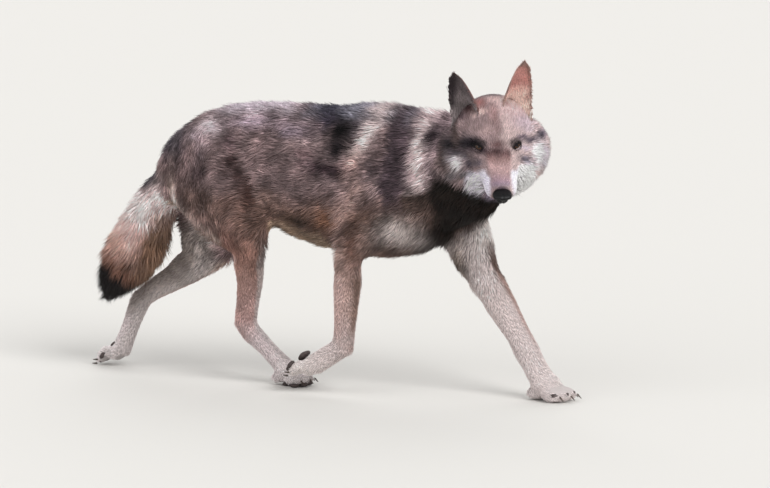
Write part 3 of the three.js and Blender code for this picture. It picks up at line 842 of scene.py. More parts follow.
def finish_piece(thing, material, replaced=()):
    """Gives a piece its material and slot, and rides it on the still body."""
    thing.data.materials.clear()
    thing.data.materials.append(material)
    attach(thing, "root")
    if replaced:
        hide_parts(*replaced)
    return thing


def paint(thing, name, colours):
    """A colour for each point, as an attribute that materials read."""
    data = np.ones((len(colours), 4), np.float32)
    data[:, :3] = colours
    layer = thing.data.color_attributes.new(name, "FLOAT_COLOR", "POINT")
    layer.data.foreach_set("color", data.ravel())


def mark(thing, name, values):
    """A whole number for each point."""
    layer = thing.data.attributes.new(name, "INT", "POINT")
    layer.data.foreach_set("value", values.astype(np.int32))


def triangles_of(mesh):
    """Rows of three corners for each triangle of a mesh."""
    mesh.calc_loop_triangles()
    flat = np.empty(len(mesh.loop_triangles) * 3, np.int32)
    mesh.loop_triangles.foreach_get("vertices", flat)
    return flat.reshape(-1, 3)


def normals_of(points, faces):
    """Normals at the points: the sum of the crossed edges of each triangle round them."""
    a, b, c = (points[faces[:, i]] for i in range(3))
    cross = np.cross(b - a, c - a)
    total = np.empty_like(points)
    for axis in range(3):
        weights = np.repeat(cross[:, axis], 3)
        total[:, axis] = np.bincount(faces.ravel(), weights=weights, minlength=len(points))
    return unit(total)


def edges_of(faces):
    """Each edge of the triangles once."""
    pairs = np.concatenate([faces[:, [0, 1]], faces[:, [1, 2]], faces[:, [2, 0]]])
    return np.unique(np.sort(pairs, axis=1), axis=0)


def smoothed(points, faces, rounds, freedom):
    """Moves each point towards the mean of its neighbours, by half its freedom each round."""
    edges = edges_of(faces)
    both = np.concatenate([edges, edges[:, ::-1]])
    count = np.bincount(both[:, 0], minlength=len(points))
    points = points.copy()
    for _ in range(rounds):
        for axis in range(3):
            values = points[both[:, 1], axis]
            mean = np.bincount(both[:, 0], weights=values, minlength=len(points)) / count
            points[:, axis] += 0.5 * freedom * (mean - points[:, axis])
    return points


def swollen_copies(names, swell):
    """Points and triangles of copies of solids, each merged and grown along its normals."""
    points, faces, start = [], [], 0
    for name in names:
        shell = bmesh.new()
        shell.from_mesh(NODES[name].data)
        bmesh.ops.remove_doubles(shell, verts=shell.verts, dist=1e-5)
        mesh = bpy.data.meshes.new("copy")
        shell.to_mesh(mesh)
        shell.free()
        own, own_faces = points_of(mesh), triangles_of(mesh)
        points.append(own + swell * normals_of(own, own_faces))
        faces.append(own_faces + start)
        start += len(own)
        bpy.data.meshes.remove(mesh)
    return np.concatenate(points), np.concatenate(faces)


def remeshed(points, faces, voxel):
    """One even closed surface round all the triangles: the largest piece's points and triangles."""
    thing = new_object("lump", points, faces)
    modifier = thing.modifiers.new("even", "REMESH")
    modifier.mode = "VOXEL"
    modifier.voxel_size = voxel
    graph = bpy.context.evaluated_depsgraph_get()
    mesh = bpy.data.meshes.new_from_object(thing.evaluated_get(graph))
    bpy.data.objects.remove(thing)
    points, faces = points_of(mesh), triangles_of(mesh)
    bpy.data.meshes.remove(mesh)
    return largest_piece(points, faces)


def largest_piece(points, faces):
    """Keeps the connected piece with the most points: labels spread along edges, then settle."""
    edges = edges_of(faces)
    label = np.arange(len(points))
    while True:
        lowest = label.copy()
        np.minimum.at(lowest, edges[:, 0], label[edges[:, 1]])
        np.minimum.at(lowest, edges[:, 1], label[edges[:, 0]])
        lowest = lowest[lowest]
        if np.array_equal(lowest, label):
            break
        label = lowest
    keep = label == np.bincount(label).argmax()
    number = np.cumsum(keep) - 1
    return points[keep], number[faces[keep[faces[:, 0]]]]


def divided(points, faces, fine):
    """Splits every edge whose two ends are marked fine, so those triangles become four."""
    mesh = bpy.data.meshes.new("fine")
    mesh.from_pydata(points.tolist(), [], faces.tolist())
    shell = bmesh.new()
    shell.from_mesh(mesh)
    chosen = [edge for edge in shell.edges if all(fine[v.index] for v in edge.verts)]
    bmesh.ops.subdivide_edges(shell, edges=chosen, cuts=1, use_grid_fill=True)
    bmesh.ops.triangulate(shell, faces=shell.faces)
    shell.to_mesh(mesh)
    shell.free()
    result = points_of(mesh), triangles_of(mesh)
    bpy.data.meshes.remove(mesh)
    return result


# ---- Head: eyes, sockets, brow and mouth

EYE_RADIUS = 12.0
LOOK = unit(np.array([0.80, 0.36, 0.48]))  # the way the left eye's opening faces, in the head
GAZE = unit(np.array([0.78, 0.18, 0.60]))  # the way its pupil points
SLANT = np.radians(22)  # the outer corner is higher than the inner one
LID_CORNERS = (1.15, 1.05)  # reach of the opening to its outer and inner corner, as tangents
LID_RISE = (0.30, 0.40)  # and to the upper and lower lid
LID_PROFILE = ((0, 0.7), (0.08, 1.6), (0.3, 2.6), (0.62, 1.9), (1, -3.2))  # height by share
LID_BACK = (-4.6, -3.0, -1.6, -0.6)  # heights of the rings on the lids' hidden side
MOUTH_FRONT = np.array([142.0, -64.0])  # forward and up, in the head
MOUTH_CORNER = np.array([58.0, -69.0])


def eye_axes(side):
    """Centre of an eyeball in the head's axes, and rows: facing, outwards, upwards."""
    flip = np.array([1, flip_of(side), 1])
    centre = EYE_IN_HEAD / MM * flip
    facing = LOOK * flip
    out = np.array([0, flip[1], 0.0])
    out = unit(out - (out @ facing) * facing)
    rise = np.cross(facing, out) * flip[1]
    turned = np.cos(SLANT) * out + np.sin(SLANT) * rise
    upright = np.cos(SLANT) * rise - np.sin(SLANT) * out
    return centre, np.array([facing, turned, upright])


def mouth_line(place, width, fade_back, fade_aside):
    """Bell across the straight line from the mouth's front to its corner, faded at both ends."""
    forward, left, up = place.T
    slope = (MOUTH_CORNER[1] - MOUTH_FRONT[1]) / (MOUTH_CORNER[0] - MOUTH_FRONT[0])
    above = up - (MOUTH_FRONT[1] + (forward - MOUTH_FRONT[0]) * slope)
    bell = np.exp(-((above / width) ** 2))
    return bell * soft(forward, *fade_back) * soft(np.abs(left), *fade_aside)


def face_relief(place):
    """Millimetres to raise the skin: brow, stop, cheekbone, lips and the groove of the mouth."""
    forward, left, up = place.T
    s = np.abs(left)
    axes = (forward, s, up)
    rise = 5.5 * spot(axes, (6, 41, 29), (15, 16, 9))
    rise += 3.0 * spot(axes, (4, 60, -10), (18, 12, 12))
    rise -= 4.0 * spot(axes, (28, 0, 16), (20, 9, 20))
    rise -= 2.0 * spot(axes, (-20, 0, 45), (34, 6, 20))
    rise -= 3.0 * spot(axes, (44, 37, -8), (16, 12, 16))
    rise += 3.0 * spot(axes, (104, 30, -46), (26, 14, 11))
    return rise - 3.2 * mouth_line(place, 2.4, (52, 64), (4, 12))


def sockets(place):
    """Draws the skin back behind each eyeball within the opening between the lids."""
    place = place.copy()
    for side in SIDES:
        centre, axes = eye_axes(side)
        away = place - centre
        reach = np.linalg.norm(away, axis=1)
        turn = np.degrees(np.arccos(np.clip(away @ axes[0] / np.maximum(reach, 1e-6), -1, 1)))
        near = (reach < 26) & (turn < 80)
        target = np.minimum(reach, EYE_RADIUS - 3)
        share = soft(turn, 70, 56)
        moved = reach + (target - reach) * share
        place[near] = (centre + unit(away) * moved[:, None])[near]
    return place


def lid_ring(side, rows=9, columns=56):
    """Both lids as one closed ring: an almond rim on the eyeball that swells and sinks outwards."""
    centre, axes = eye_axes(side)
    turn = np.linspace(0, 2 * np.pi, columns, endpoint=False)
    across, rise = np.cos(turn), np.sin(turn)
    wide = np.where(across > 0, *LID_CORNERS)
    high = np.where(rise > 0, *LID_RISE)
    rim = np.stack([np.ones(columns), wide * across, high * rise * np.abs(rise) ** 0.35], axis=1)
    spread = np.tan(np.radians(72))
    outer = np.stack([np.ones(columns), spread * across, spread * 0.86 * rise], axis=1)
    steps = np.concatenate([np.linspace(0, 1, rows), np.linspace(1, 0, 4)])
    outside = np.interp(np.linspace(0, 1, rows), *zip(*LID_PROFILE))
    lift = np.concatenate([outside, LID_BACK])
    brow = 2.2 * np.clip(rise, 0, 1) * np.sin(np.pi * np.clip(steps, 0, 1))[:, None]
    rings = []
    for step, height, over in zip(steps, lift, brow):
        way = unit(rim + (outer - rim) * step) @ axes
        rings.append(centre + way * (EYE_RADIUS + height + over)[:, None])
    grid = np.array(rings)
    count = len(grid)
    i, j = np.meshgrid(np.arange(count), np.arange(columns), indexing="ij")
    a = i * columns + j
    b = i * columns + (j + 1) % columns
    c = ((i + 1) % count) * columns + (j + 1) % columns
    d = ((i + 1) % count) * columns + j
    quads = np.stack([a, b, c, d], axis=-1).reshape(-1, 4)
    if side == "right":
        quads = quads[:, ::-1]
    faces = np.concatenate([quads[:, [0, 1, 2]], quads[:, [0, 2, 3]]])
    near_rim = np.repeat(np.exp(-((steps / 0.14) ** 2)), columns)
    return from_head(grid.reshape(-1, 3)), faces, near_rim


def eyeball(side):
    """Ball with a slight bulge over the iris; rows of rings from the pupil's middle to the back."""
    centre, _ = eye_axes(side)
    flip = np.array([1, flip_of(side), 1])
    facing = GAZE * flip
    out = unit(np.cross(facing, [0, 0, 1.0]))
    rise = np.cross(out, facing)
    away = np.concatenate([np.linspace(0, 45, 31)[1:], np.linspace(45, 180, 22)[1:-1]])
    away = np.radians(away)[:, None]
    turn = np.linspace(0, 2 * np.pi, 48, endpoint=False)[None]
    reach = EYE_RADIUS * (1 + 0.045 * np.exp(-((away / 0.42) ** 2)))
    grid = reach[..., None] * (
        np.cos(away)[..., None] * facing
        + (np.sin(away) * np.cos(turn))[..., None] * out
        + (np.sin(away) * np.sin(turn))[..., None] * rise
    )
    rows, columns = grid.shape[:2]
    front = EYE_RADIUS * 1.045 * facing
    points = np.concatenate([grid.reshape(-1, 3), [front], [-EYE_RADIUS * facing]]) + centre
    faces = capped_faces(rows, columns)
    angle = np.concatenate([np.broadcast_to(away, (rows, columns)).ravel(), [0, np.pi]])
    around = np.concatenate([np.broadcast_to(turn, (rows, columns)).ravel(), [0, 0]])
    return from_head(points), outward(points - centre, faces), angle, around


def outward(points, faces):
    """Turns the triangles of a shell round its own middle so that they face away from it."""
    a, b, c = (points[faces[:, i]] for i in range(3))
    inside = np.sum(np.cross(b - a, c - a) * (a + b + c), axis=1) < 0
    faces = faces.copy()
    faces[inside] = faces[inside][:, ::-1]
    return faces


NOSE_MIDDLE = np.array([131.0, 0, -39.5])
NOSE_REACH = (19.0, 23.0, 10.5, 21.0)  # forward and back, sideways, up, down


def nose_leather(rows=70, columns=120):
    """Blunt block |x/a|^n + |y/b|^n + |z/c|^n = 1 that narrows and draws back below, with nostrils
    that run out into slits and a groove down the middle."""
    away = np.linspace(0, np.pi, rows)[1:-1, None]
    turn = np.linspace(0, 2 * np.pi, columns, endpoint=False)[None]
    forward = np.cos(away) + 0 * turn
    left = np.sin(away) * np.cos(turn)
    up = np.sin(away) * np.sin(turn)
    ball = np.stack([forward, left, up], axis=-1).reshape(-1, 3)
    ball = np.concatenate([ball, [[1.0, 0, 0], [-1.0, 0, 0]]])
    length, width, above, below = NOSE_REACH
    reach = np.tile([length, width, below], (len(ball), 1))
    reach[ball[:, 2] > 0, 2] = above
    block = ball / (np.abs(ball) ** 2.7).sum(axis=1, keepdims=True) ** (1 / 2.7) * reach
    low = soft(-block[:, 2], -6, 17)
    block[:, 1] *= 1 - 0.42 * low
    block[:, 0] -= 5.5 * low * soft(block[:, 0], -4, 12)
    block[:, 0] -= 2.0 * soft(np.abs(block[:, 1]), 8, 23) * soft(block[:, 0], 0, 12)
    faces = outward(block, capped_faces(rows - 2, columns))
    normals = normals_of(block, faces)
    x, s, z = block[:, 0], np.abs(block[:, 1]), block[:, 2]
    front = soft(x, 2, 9)
    rise = 1.6 * spot((s, z), (16.5, 3), (5, 6)) * front
    rise += 1.0 * spot((s, z), (5, 6), (5, 5)) * front
    hole = spot((s, z), (10.0, -1.0), (4.6, 4.0)) * front
    slit = spot((s - 0.5 * (z + 6), z), (17.0, -6.0), (6.5, 2.2)) * soft(x, -4, 4)
    groove = spot((s,), (0,), (1.3,)) * soft(z, 3, -2) * front
    sink = 7.0 * hole + 3.6 * slit + 1.8 * groove
    block += (rise - sink)[:, None] * normals
    return from_head(block + NOSE_MIDDLE), faces


def grid_faces(rows, columns):
    """Triangles of a grid of rings, each ring closed on itself."""
    i, j = np.meshgrid(np.arange(rows - 1), np.arange(columns), indexing="ij")
    a, b = i * columns + j, i * columns + (j + 1) % columns
    quads = np.stack([a, a + columns, b + columns, b], axis=-1).reshape(-1, 4)
    return np.concatenate([quads[:, [0, 1, 2]], quads[:, [0, 2, 3]]])


def capped_faces(rows, columns):
    """Triangles of a grid of rings whose ends are closed by fans round the two points after it."""
    k = np.arange(columns)
    ahead, last = (k + 1) % columns, (rows - 1) * columns
    first_fan = np.stack([k, ahead, np.full(columns, rows * columns)], axis=1)
    last_fan = np.stack([last + ahead, last + k, np.full(columns, rows * columns + 1)], axis=1)
    return np.concatenate([grid_faces(rows, columns), first_fan, last_fan])


# ---- Materials


def set_values(node, **values):
    """Sets sockets of a node by name, with underscores for spaces."""
    for socket, value in values.items():
        node.inputs[socket.replace("_", " ")].default_value = value


def add_node(nodes, kind, **values):
    """A new shader node with values for its sockets."""
    node = nodes.new(f"ShaderNode{kind}")
    set_values(node, **values)
    return node


def new_material(name, roughness, **values):
    """A material with one Principled shader: its nodes, links and shader."""
    material = bpy.data.materials.new(name)
    material.use_nodes = True
    nodes, links = material.node_tree.nodes, material.node_tree.links
    shader = nodes["Principled BSDF"]
    set_values(shader, Roughness=roughness, **values)
    return material, nodes, links, shader


def painted(nodes):
    """The colour that was painted on the points."""
    tint = add_node(nodes, "VertexColor")
    tint.layer_name = "tint"
    return tint.outputs["Color"]


def on_object(nodes, links, kind, stretch=None, **values):
    """A texture on Object coordinates, stretched first if a scale is given."""
    place = add_node(nodes, "TexCoord").outputs["Object"]
    texture = add_node(nodes, kind, **values)
    if stretch:
        mapping = add_node(nodes, "Mapping", Scale=stretch)
        links.new(place, mapping.inputs["Vector"])
        place = mapping.outputs["Vector"]
    links.new(place, texture.inputs["Vector"])
    return texture


def shaded(nodes, links, colour, value, before, after, amount=1.0):
    """Mix node: a colour times a value, which is spread from one range to another."""
    spread = add_node(
        nodes, "MapRange", From_Min=before[0], From_Max=before[1], To_Min=after[0], To_Max=after[1]
    )
    links.new(value, spread.inputs["Value"])
    shade = add_node(nodes, "Mix")
    shade.data_type = "RGBA"
    shade.blend_type = "MULTIPLY"
    shade.inputs["Factor"].default_value = amount
    links.new(colour, shade.inputs["A"])
    links.new(spread.outputs["Result"], shade.inputs["B"])
    return shade


def ramped(nodes, links, shader, value, *stops):
    """Base colour read off a ramp between stops of place and colour."""
    ramp = add_node(nodes, "ValToRGB")
    for element, (position, colour) in zip(ramp.color_ramp.elements, stops):
        element.position = position
        element.color = (*colour, 1)
    links.new(value, ramp.inputs["Fac"])
    links.new(ramp.outputs["Color"], shader.inputs["Base Color"])


def raised(nodes, links, shader, height, strength, distance):
    """Bump on the shader from a height."""
    bump = add_node(nodes, "Bump", Strength=strength, Distance=distance)
    links.new(height, bump.inputs["Height"])
    links.new(bump.outputs["Normal"], shader.inputs["Normal"])


def streak_group():
    """Node group: fine strands along a tuft, from its own map, as a tinted colour and a height."""
    group = bpy.data.node_groups.new("strands", "ShaderNodeTree")
    for name, way, kind, value in (
        ("Color", "INPUT", "Color", None),
        ("Amount", "INPUT", "Float", 0.25),
        ("Fineness", "INPUT", "Float", 9.0),
        ("Color", "OUTPUT", "Color", None),
        ("Height", "OUTPUT", "Float", None),
    ):
        socket = group.interface.new_socket(name, in_out=way, socket_type=f"NodeSocket{kind}")
        if value is not None:
            socket.default_value = value
    nodes, links = group.nodes, group.links
    entry, leave = nodes.new("NodeGroupInput"), nodes.new("NodeGroupOutput")
    strand = add_node(nodes, "UVMap")
    strand.uv_map = "strand"
    stretch = add_node(nodes, "Mapping", Scale=(1.0, 0.22, 1.0))
    wave = add_node(nodes, "TexNoise", Detail=2.0)
    strands = wave.outputs["Fac"]
    shade = shaded(nodes, links, entry.outputs["Color"], strands, (0.3, 0.7), (0.45, 1.45), 0.5)
    links.new(strand.outputs["UV"], stretch.inputs["Vector"])
    links.new(stretch.outputs["Vector"], wave.inputs["Vector"])
    links.new(entry.outputs["Fineness"], wave.inputs["Scale"])
    links.new(entry.outputs["Amount"], shade.inputs["Factor"])
    links.new(shade.outputs["Result"], leave.inputs["Color"])
    links.new(strands, leave.inputs["Height"])
    return group


def coat_material():
    """Hair: the tuft's own colour, streaked into strands along its length."""
    gloss = {"Specular_IOR_Level": 0.12, "Sheen_Weight": 0.03}
    material, nodes, links, shader = new_material("hair", 0.62, **gloss)
    strands = nodes.new("ShaderNodeGroup")
    strands.node_tree = streak_group()
    strands.inputs["Amount"].default_value = 0.3
    links.new(painted(nodes), strands.inputs["Color"])
    links.new(strands.outputs["Color"], shader.inputs["Base Color"])
    raised(nodes, links, shader, strands.outputs["Height"], 0.35, 0.0004)
    return material


def grain_bump(nodes, links, shader, scale, strength, distance, cells=False):
    """Raised grain on Object coordinates: noise, or the cells of a pebbled leather."""
    texture = on_object(nodes, links, "TexVoronoi" if cells else "TexNoise", Scale=scale)
    height = texture.outputs["Distance" if cells else "Fac"]
    raised(nodes, links, shader, height, strength, distance)
    return height


def skin_material():
    """Short dense underfur: the markings, mottled finely, with a fine nap."""
    material, nodes, links, shader = new_material("underfur", 0.85, Specular_IOR_Level=0.15)
    grain = grain_bump(nodes, links, shader, 900, 0.5, 0.0008)
    shade = shaded(nodes, links, painted(nodes), grain, (0, 1), (0.6, 1.3), 0.6)
    links.new(shade.outputs["Result"], shader.inputs["Base Color"])
    return material


def leather_material(name, code, scale, roughness, coat):
    """Bare pebbled skin, such as the nose or a pad: darker in the creases between the pebbles, as
    painted shade.
    """
    gloss = {"Coat_Weight": coat, "Coat_Roughness": 0.3, "Specular_IOR_Level": 0.15}
    material, nodes, links, shader = new_material(name, roughness, **gloss)
    pebbles = grain_bump(nodes, links, shader, scale, 0.45, 0.0006, cells=True)
    tone = linear(code)
    ramped(nodes, links, shader, pebbles, (0.0, tone * 1.25), (0.7, tone * 0.55))
    return material


def horn_material():
    """Claw horn: dark brown, streaked lengthways by stretched noise."""
    material, nodes, links, shader = new_material("horn", 0.42)
    texture = on_object(nodes, links, "TexNoise", (120, 520, 520), Scale=1.0, Detail=4.0)
    streaks = texture.outputs["Fac"]
    ramped(nodes, links, shader, streaks, (0.3, linear("1e1916")), (0.75, linear("5b4b40")))
    raised(nodes, links, shader, streaks, 0.3, 0.0003)
    return material


def eye_material():
    """Wet eye: the colour attribute of pupil, iris and white under a clear coat."""
    gloss = {"Coat_Weight": 0.4, "Coat_Roughness": 0.04, "Specular_IOR_Level": 0.15}
    material, nodes, links, shader = new_material("eye", 0.12, **gloss)
    flecks = on_object(nodes, links, "TexNoise", Scale=1500).outputs["Fac"]
    shade = shaded(nodes, links, painted(nodes), flecks, (0, 1), (0.75, 1.25))
    links.new(shade.outputs["Result"], shader.inputs["Base Color"])
    return material


# ---- Sizes and colours that a user would change


class WolfSizes(PropertyGroup):
    """Sizes of the skin and coat."""

    voxel: FloatProperty(
        name="Skin grain",
        description="Edge length of the skin's facets on the body",
        default=0.0057,
        min=0.003,
        unit="LENGTH",
    )
    coat_length: FloatProperty(
        name="Coat length",
        description="Length of every tuft, as a share of its usual one",
        default=1.0,
        min=0.3,
        max=1.5,
    )
    coat_density: FloatProperty(
        name="Coat density",
        description="Number of tufts, as a share of the usual one",
        default=1.0,
        min=0.05,
        max=1.2,
    )
    whisker_length: FloatProperty(
        name="Whisker length",
        description="Length of the longest whisker",
        default=0.06,
        unit="LENGTH",
    )
    seed: IntProperty(name="Seed", description="Order of the coat's random changes", default=7)


class WolfColours(PropertyGroup):
    """Colours of the bare parts and the stage."""

    iris: FloatVectorProperty(
        name="Iris",
        description="Middle of the iris",
        subtype="COLOR",
        default=tuple(linear("3a210d")),
    )
    floor: FloatVectorProperty(
        name="Floor",
        description="Studio floor",
        subtype="COLOR",
        default=tuple(linear("cfcdc9")),
    )


# ---- The skin


BODY, EAR_LEFT, EAR_RIGHT, LIDS = range(4)  # the skin's attribute "place" tells its parts apart
SKIN_SHADE = 0.8  # the skin is this much darker than its hair
FLESH = [name for name in NODES if not name.startswith(("claw", "eye", "nose", "ear"))]


CLEARANCE = 1.0 * MM  # the flesh is grown by this before it is joined, to close its cuts
UNDER_HAIR = 0.3 * MM  # the skin lies this much deeper than the coat's depth
SOLE_HEIGHT = 1.2 * MM  # lowest point of the skin, over the pads
ROUNDS = {"body": 26, "divided": 4, "drawn in": 2, "ear": 5}  # of smoothing after each step
EAR_GRAIN = 2.2 * MM
EAR_DEPTH = {"left": 0.8 * MM, "right": -0.6 * MM}  # of its hair; the thin right ear is grown
EAR_SEAT = 26 * MM  # how deep the ear's foot is set into the head


def body_skin(voxel):
    """Skin of all but the ears: even surface round the flesh, smoothed, drawn in, with a face."""
    points, faces = remeshed(*swollen_copies(FLESH, CLEARANCE), voxel)
    shares = region_shares(points, bone_shares(points))
    points = smoothed(points, faces, ROUNDS["body"], region_value(shares, FREEDOM))
    shares = region_shares(points, bone_shares(points))
    points, faces = divided(points, faces, region_share(shares, "head", "paw") > 0.4)
    shares = region_shares(points, bone_shares(points))
    points = smoothed(points, faces, ROUNDS["divided"], 0.5 + 0.3 * region_share(shares, "ruff"))
    depth = region_value(shares, DEPTH) * MM + UNDER_HAIR
    points = points - depth[:, None] * normals_of(points, faces)
    points = smoothed(points, faces, ROUNDS["drawn in"], np.full(len(points), 0.5))
    points[:, 2] = np.maximum(points[:, 2], SOLE_HEIGHT)
    head = region_share(shares, "head", "ruff") > 0.3
    place = to_head(points[head])
    place += face_relief(place)[:, None] * (normals_of(points, faces)[head] @ HEAD_AXES.T)
    points[head] = from_head(sockets(place))
    return points, faces


def ear_skin(side):
    """Skin of one ear: even surface round its solid, smoothed, and drawn in by its short hair."""
    points, faces = remeshed(*swollen_copies([f"ear_{side}"], 0.3 * MM), EAR_GRAIN)
    points = smoothed(points, faces, ROUNDS["ear"], np.full(len(points), 0.6))
    points = points - EAR_DEPTH[side] * normals_of(points, faces)
    base, tip, _ = ear_axes(side)
    share, _ = along_bone(points, base, tip)
    return points - EAR_SEAT * soft(share, 0.3, 0.0)[:, None] * unit(tip - base), faces


def build_skin(sizes):
    """Joins body, ears and lids into one object, and gives it the markings."""
    pieces = [(*body_skin(sizes.voxel), BODY)]
    pieces += [(*ear_skin(side), number) for number, side in enumerate(SIDES, start=1)]
    rims = [np.zeros(sum(len(piece[0]) for piece in pieces))]
    for side in SIDES:
        points, faces, rim = lid_ring(side)
        pieces.append((points, faces, LIDS))
        rims.append(rim)
    starts = np.cumsum([0] + [len(piece[0]) for piece in pieces])
    points = np.concatenate([piece[0] for piece in pieces])
    faces = np.concatenate([piece[1] + start for piece, start in zip(pieces, starts)])
    place = np.concatenate([np.full(len(piece[0]), piece[2]) for piece in pieces])
    normals = normals_of(points, faces)
    tint = markings(points, normals, bone_shares(points), place) * SKIN_SHADE
    tint = layered(
        tint,
        ("151113", np.concatenate(rims) + 0.5 * (place == LIDS)),
        ("221b1c", lip_line(to_head(points))),
    )
    skin = new_object("skin", points, faces)
    paint(skin, "tint", tint)
    mark(skin, "place", place)
    return skin


def lip_line(head):
    """Dark line of the closed mouth: 1 on the line, fading over two millimetres."""
    return mouth_line(head, 2.6, (50, 60), (3, 9))


# ---- Tufts


def scatter(points, faces, normals, density, rng):
    """Places on the triangles, evenly for each triangle's area times density: place and normal."""
    a, b, c = (points[faces[:, i]] for i in range(3))
    area = np.linalg.norm(np.cross(b - a, c - a), axis=1) / 2
    weight = np.cumsum(area * density[faces].mean(axis=1))
    count = int(weight[-1])
    marks = (np.arange(count) + rng.random(count)) * weight[-1] / count
    chosen = np.minimum(np.searchsorted(weight, marks), len(faces) - 1)
    u, v = rng.random((2, count))
    over = u + v > 1
    u[over], v[over] = 1 - u[over], 1 - v[over]
    share = np.stack([1 - u - v, u, v], axis=1)
    corner = faces[chosen]
    where = np.einsum("ij,ijk->ik", share, points[corner])
    way = unit(np.einsum("ij,ijk->ik", share, normals[corner]))
    return where, way, chosen


TUFT_RINGS = ((0.0, 0.75), (0.42, 1.0))  # share of the length and of the width at each ring
TUFT_FACES = np.array(
    [[0, 2, 1]]
    + [[0, 1, 4], [0, 4, 3], [1, 2, 5], [1, 5, 4], [2, 0, 3], [2, 3, 5]]
    + [[3, 4, 6], [4, 5, 6], [5, 3, 6]]
)[:, ::-1]
TUFT_ALONG = np.array([0, 0, 0, 0.42, 0.42, 0.42, 1.0])  # of the seven corners
TUFT_ROUND = np.array([0, 1, 0.5, 0, 1, 0.5, 0.5])
ROOT_DEPTH = 1.6 * MM  # a tuft starts this far under the skin
LOWEST_HAIR = 0.3 * MM
PATCH = 0.003  # size of a tuft's patch on the map of the skin's shape


def tuft_mesh(name, root, normal, flow, length, width, lift, tints, chart):
    """Closed three-sided locks: two rings and a tip along a line that leaves the skin at the angle
    lift and bends down towards it; half the width at ring k is w(k), the ridge stands 0.8 w(k)."""
    count = len(root)
    across = np.cross(normal, flow)
    points = np.empty((count, 7, 3))
    steep = np.sin(lift) * length
    flat = np.cos(lift) * length
    for k, (s, g) in enumerate(TUFT_RINGS):
        rise = steep * s * (1.45 - 0.45 * s) - ROOT_DEPTH * (1 - s) ** 3
        centre = root + flow * (flat * s)[:, None] + normal * rise[:, None]
        half = (width * g / 2)[:, None]
        points[:, 3 * k] = centre - across * half
        points[:, 3 * k + 1] = centre + across * half
        points[:, 3 * k + 2] = centre + normal * half * 0.8
    points[:, 6] = root + flow * flat[:, None] + normal * steep[:, None]
    points[:, :, 2] = np.maximum(points[:, :, 2], LOWEST_HAIR)
    faces = (np.arange(count)[:, None, None] * 7 + TUFT_FACES[None]).reshape(-1, 3)
    lock = new_object(name, points.reshape(-1, 3), faces)
    shade = np.stack(tints, axis=1)[:, [0, 0, 0, 1, 1, 1, 2]]
    paint(lock, "tint", shade.reshape(-1, 3))
    which, corner = faces.ravel() // 7, faces.ravel() % 7
    step, turn = TUFT_ALONG[corner], TUFT_ROUND[corner]
    patch = chart[which] + np.stack([turn - 0.5, step - 0.5], axis=1) * PATCH
    own = np.stack([turn + 5.1 * (which % 97), step * 3 + 2.3 * (which % 89)], axis=1)
    for label, data in (("OFBake", patch), ("strand", own)):
        layer = lock.data.uv_layers.new(name=label)
        layer.data.foreach_set("uv", data.astype(np.float32).ravel())
    return lock


def chart_of(points, shares):
    """Unwrap of the skin's own shape: each bone has a band, with the turn round it and the way
    along it; the bands of a piece fill the map."""
    owner = np.argmax(shares, axis=0)
    present = np.unique(owner)
    chart = np.empty((len(points), 2))
    for band, bone in enumerate(present):
        mine = owner == bone
        _, start, end, _, _ = BONES[bone]
        run = unit(end - start)
        side = unit(np.cross(run, [0.13, 1.0, 0.21]))
        other = np.cross(run, side)
        away = points[mine] - start
        turn = np.arctan2(away @ other, away @ side) / (2 * np.pi) + 0.5
        along = away @ run
        span = max(np.ptp(along), 1e-6)
        chart[mine, 0] = turn
        chart[mine, 1] = (band + 0.02 + 0.96 * (along - along.min()) / span) / len(present)
    low, high = chart[:, 0].min(), chart[:, 0].max()
    chart[:, 0] = (chart[:, 0] - low) / max(high - low, 1e-6)
    return 0.01 + 0.98 * chart


def bare(head):
    """Where no hair grows, from places in the head: eyes, lip line and the seat of the nose."""
    nose = np.linalg.norm((head - NOSE_MIDDLE) / [19, 24, 18], axis=1) < 1
    hidden = nose | (lip_line(head) > 0.75)
    for side in SIDES:
        centre, axes = eye_axes(side)
        away = head - centre
        reach = np.linalg.norm(away, axis=1)
        facing = away @ axes[0] / np.maximum(reach, 1e-6)
        flat = (away @ axes[1] / 14.0) ** 2 + (away @ axes[2] / 7.5) ** 2 < 1
        hidden |= (reach < 26) & (facing > 0.2) & flat
    return hidden


EAR_DENSITY = 240000  # tufts per square metre
EAR_HAIR = (7, 1.2, 0.5)  # length, width and depth in millimetres
RIM_HAIR = (2.5, 0.8, 0.06)
CUP_HAIR = (19, 0.95, 3)  # sparse long hair low in the cup


def sown(skin, sizes, rng):
    """Roots of the tufts: places, normals, parts of the skin, shares of bones and of regions."""
    points, faces = points_of(skin.data), triangles_of(skin.data)
    part = np.empty(len(points), np.int32)
    skin.data.attributes["place"].data.foreach_get("value", part)
    normals = normals_of(points, faces)
    density = region_value(region_shares(points, bone_shares(points)), DENSITY)
    density[(part == EAR_LEFT) | (part == EAR_RIGHT)] = EAR_DENSITY
    density[bare(to_head(points)) | under_paw(points, normals)] = 0
    root, normal, chosen = scatter(points, faces, normals, density * sizes.coat_density, rng)
    shares = bone_shares(root)
    regions = region_shares(root, shares)
    keep = ~bare(to_head(root))
    part = part[faces[chosen, 0]]
    return root[keep], normal[keep], part[keep], shares[:, keep], regions[:, keep]


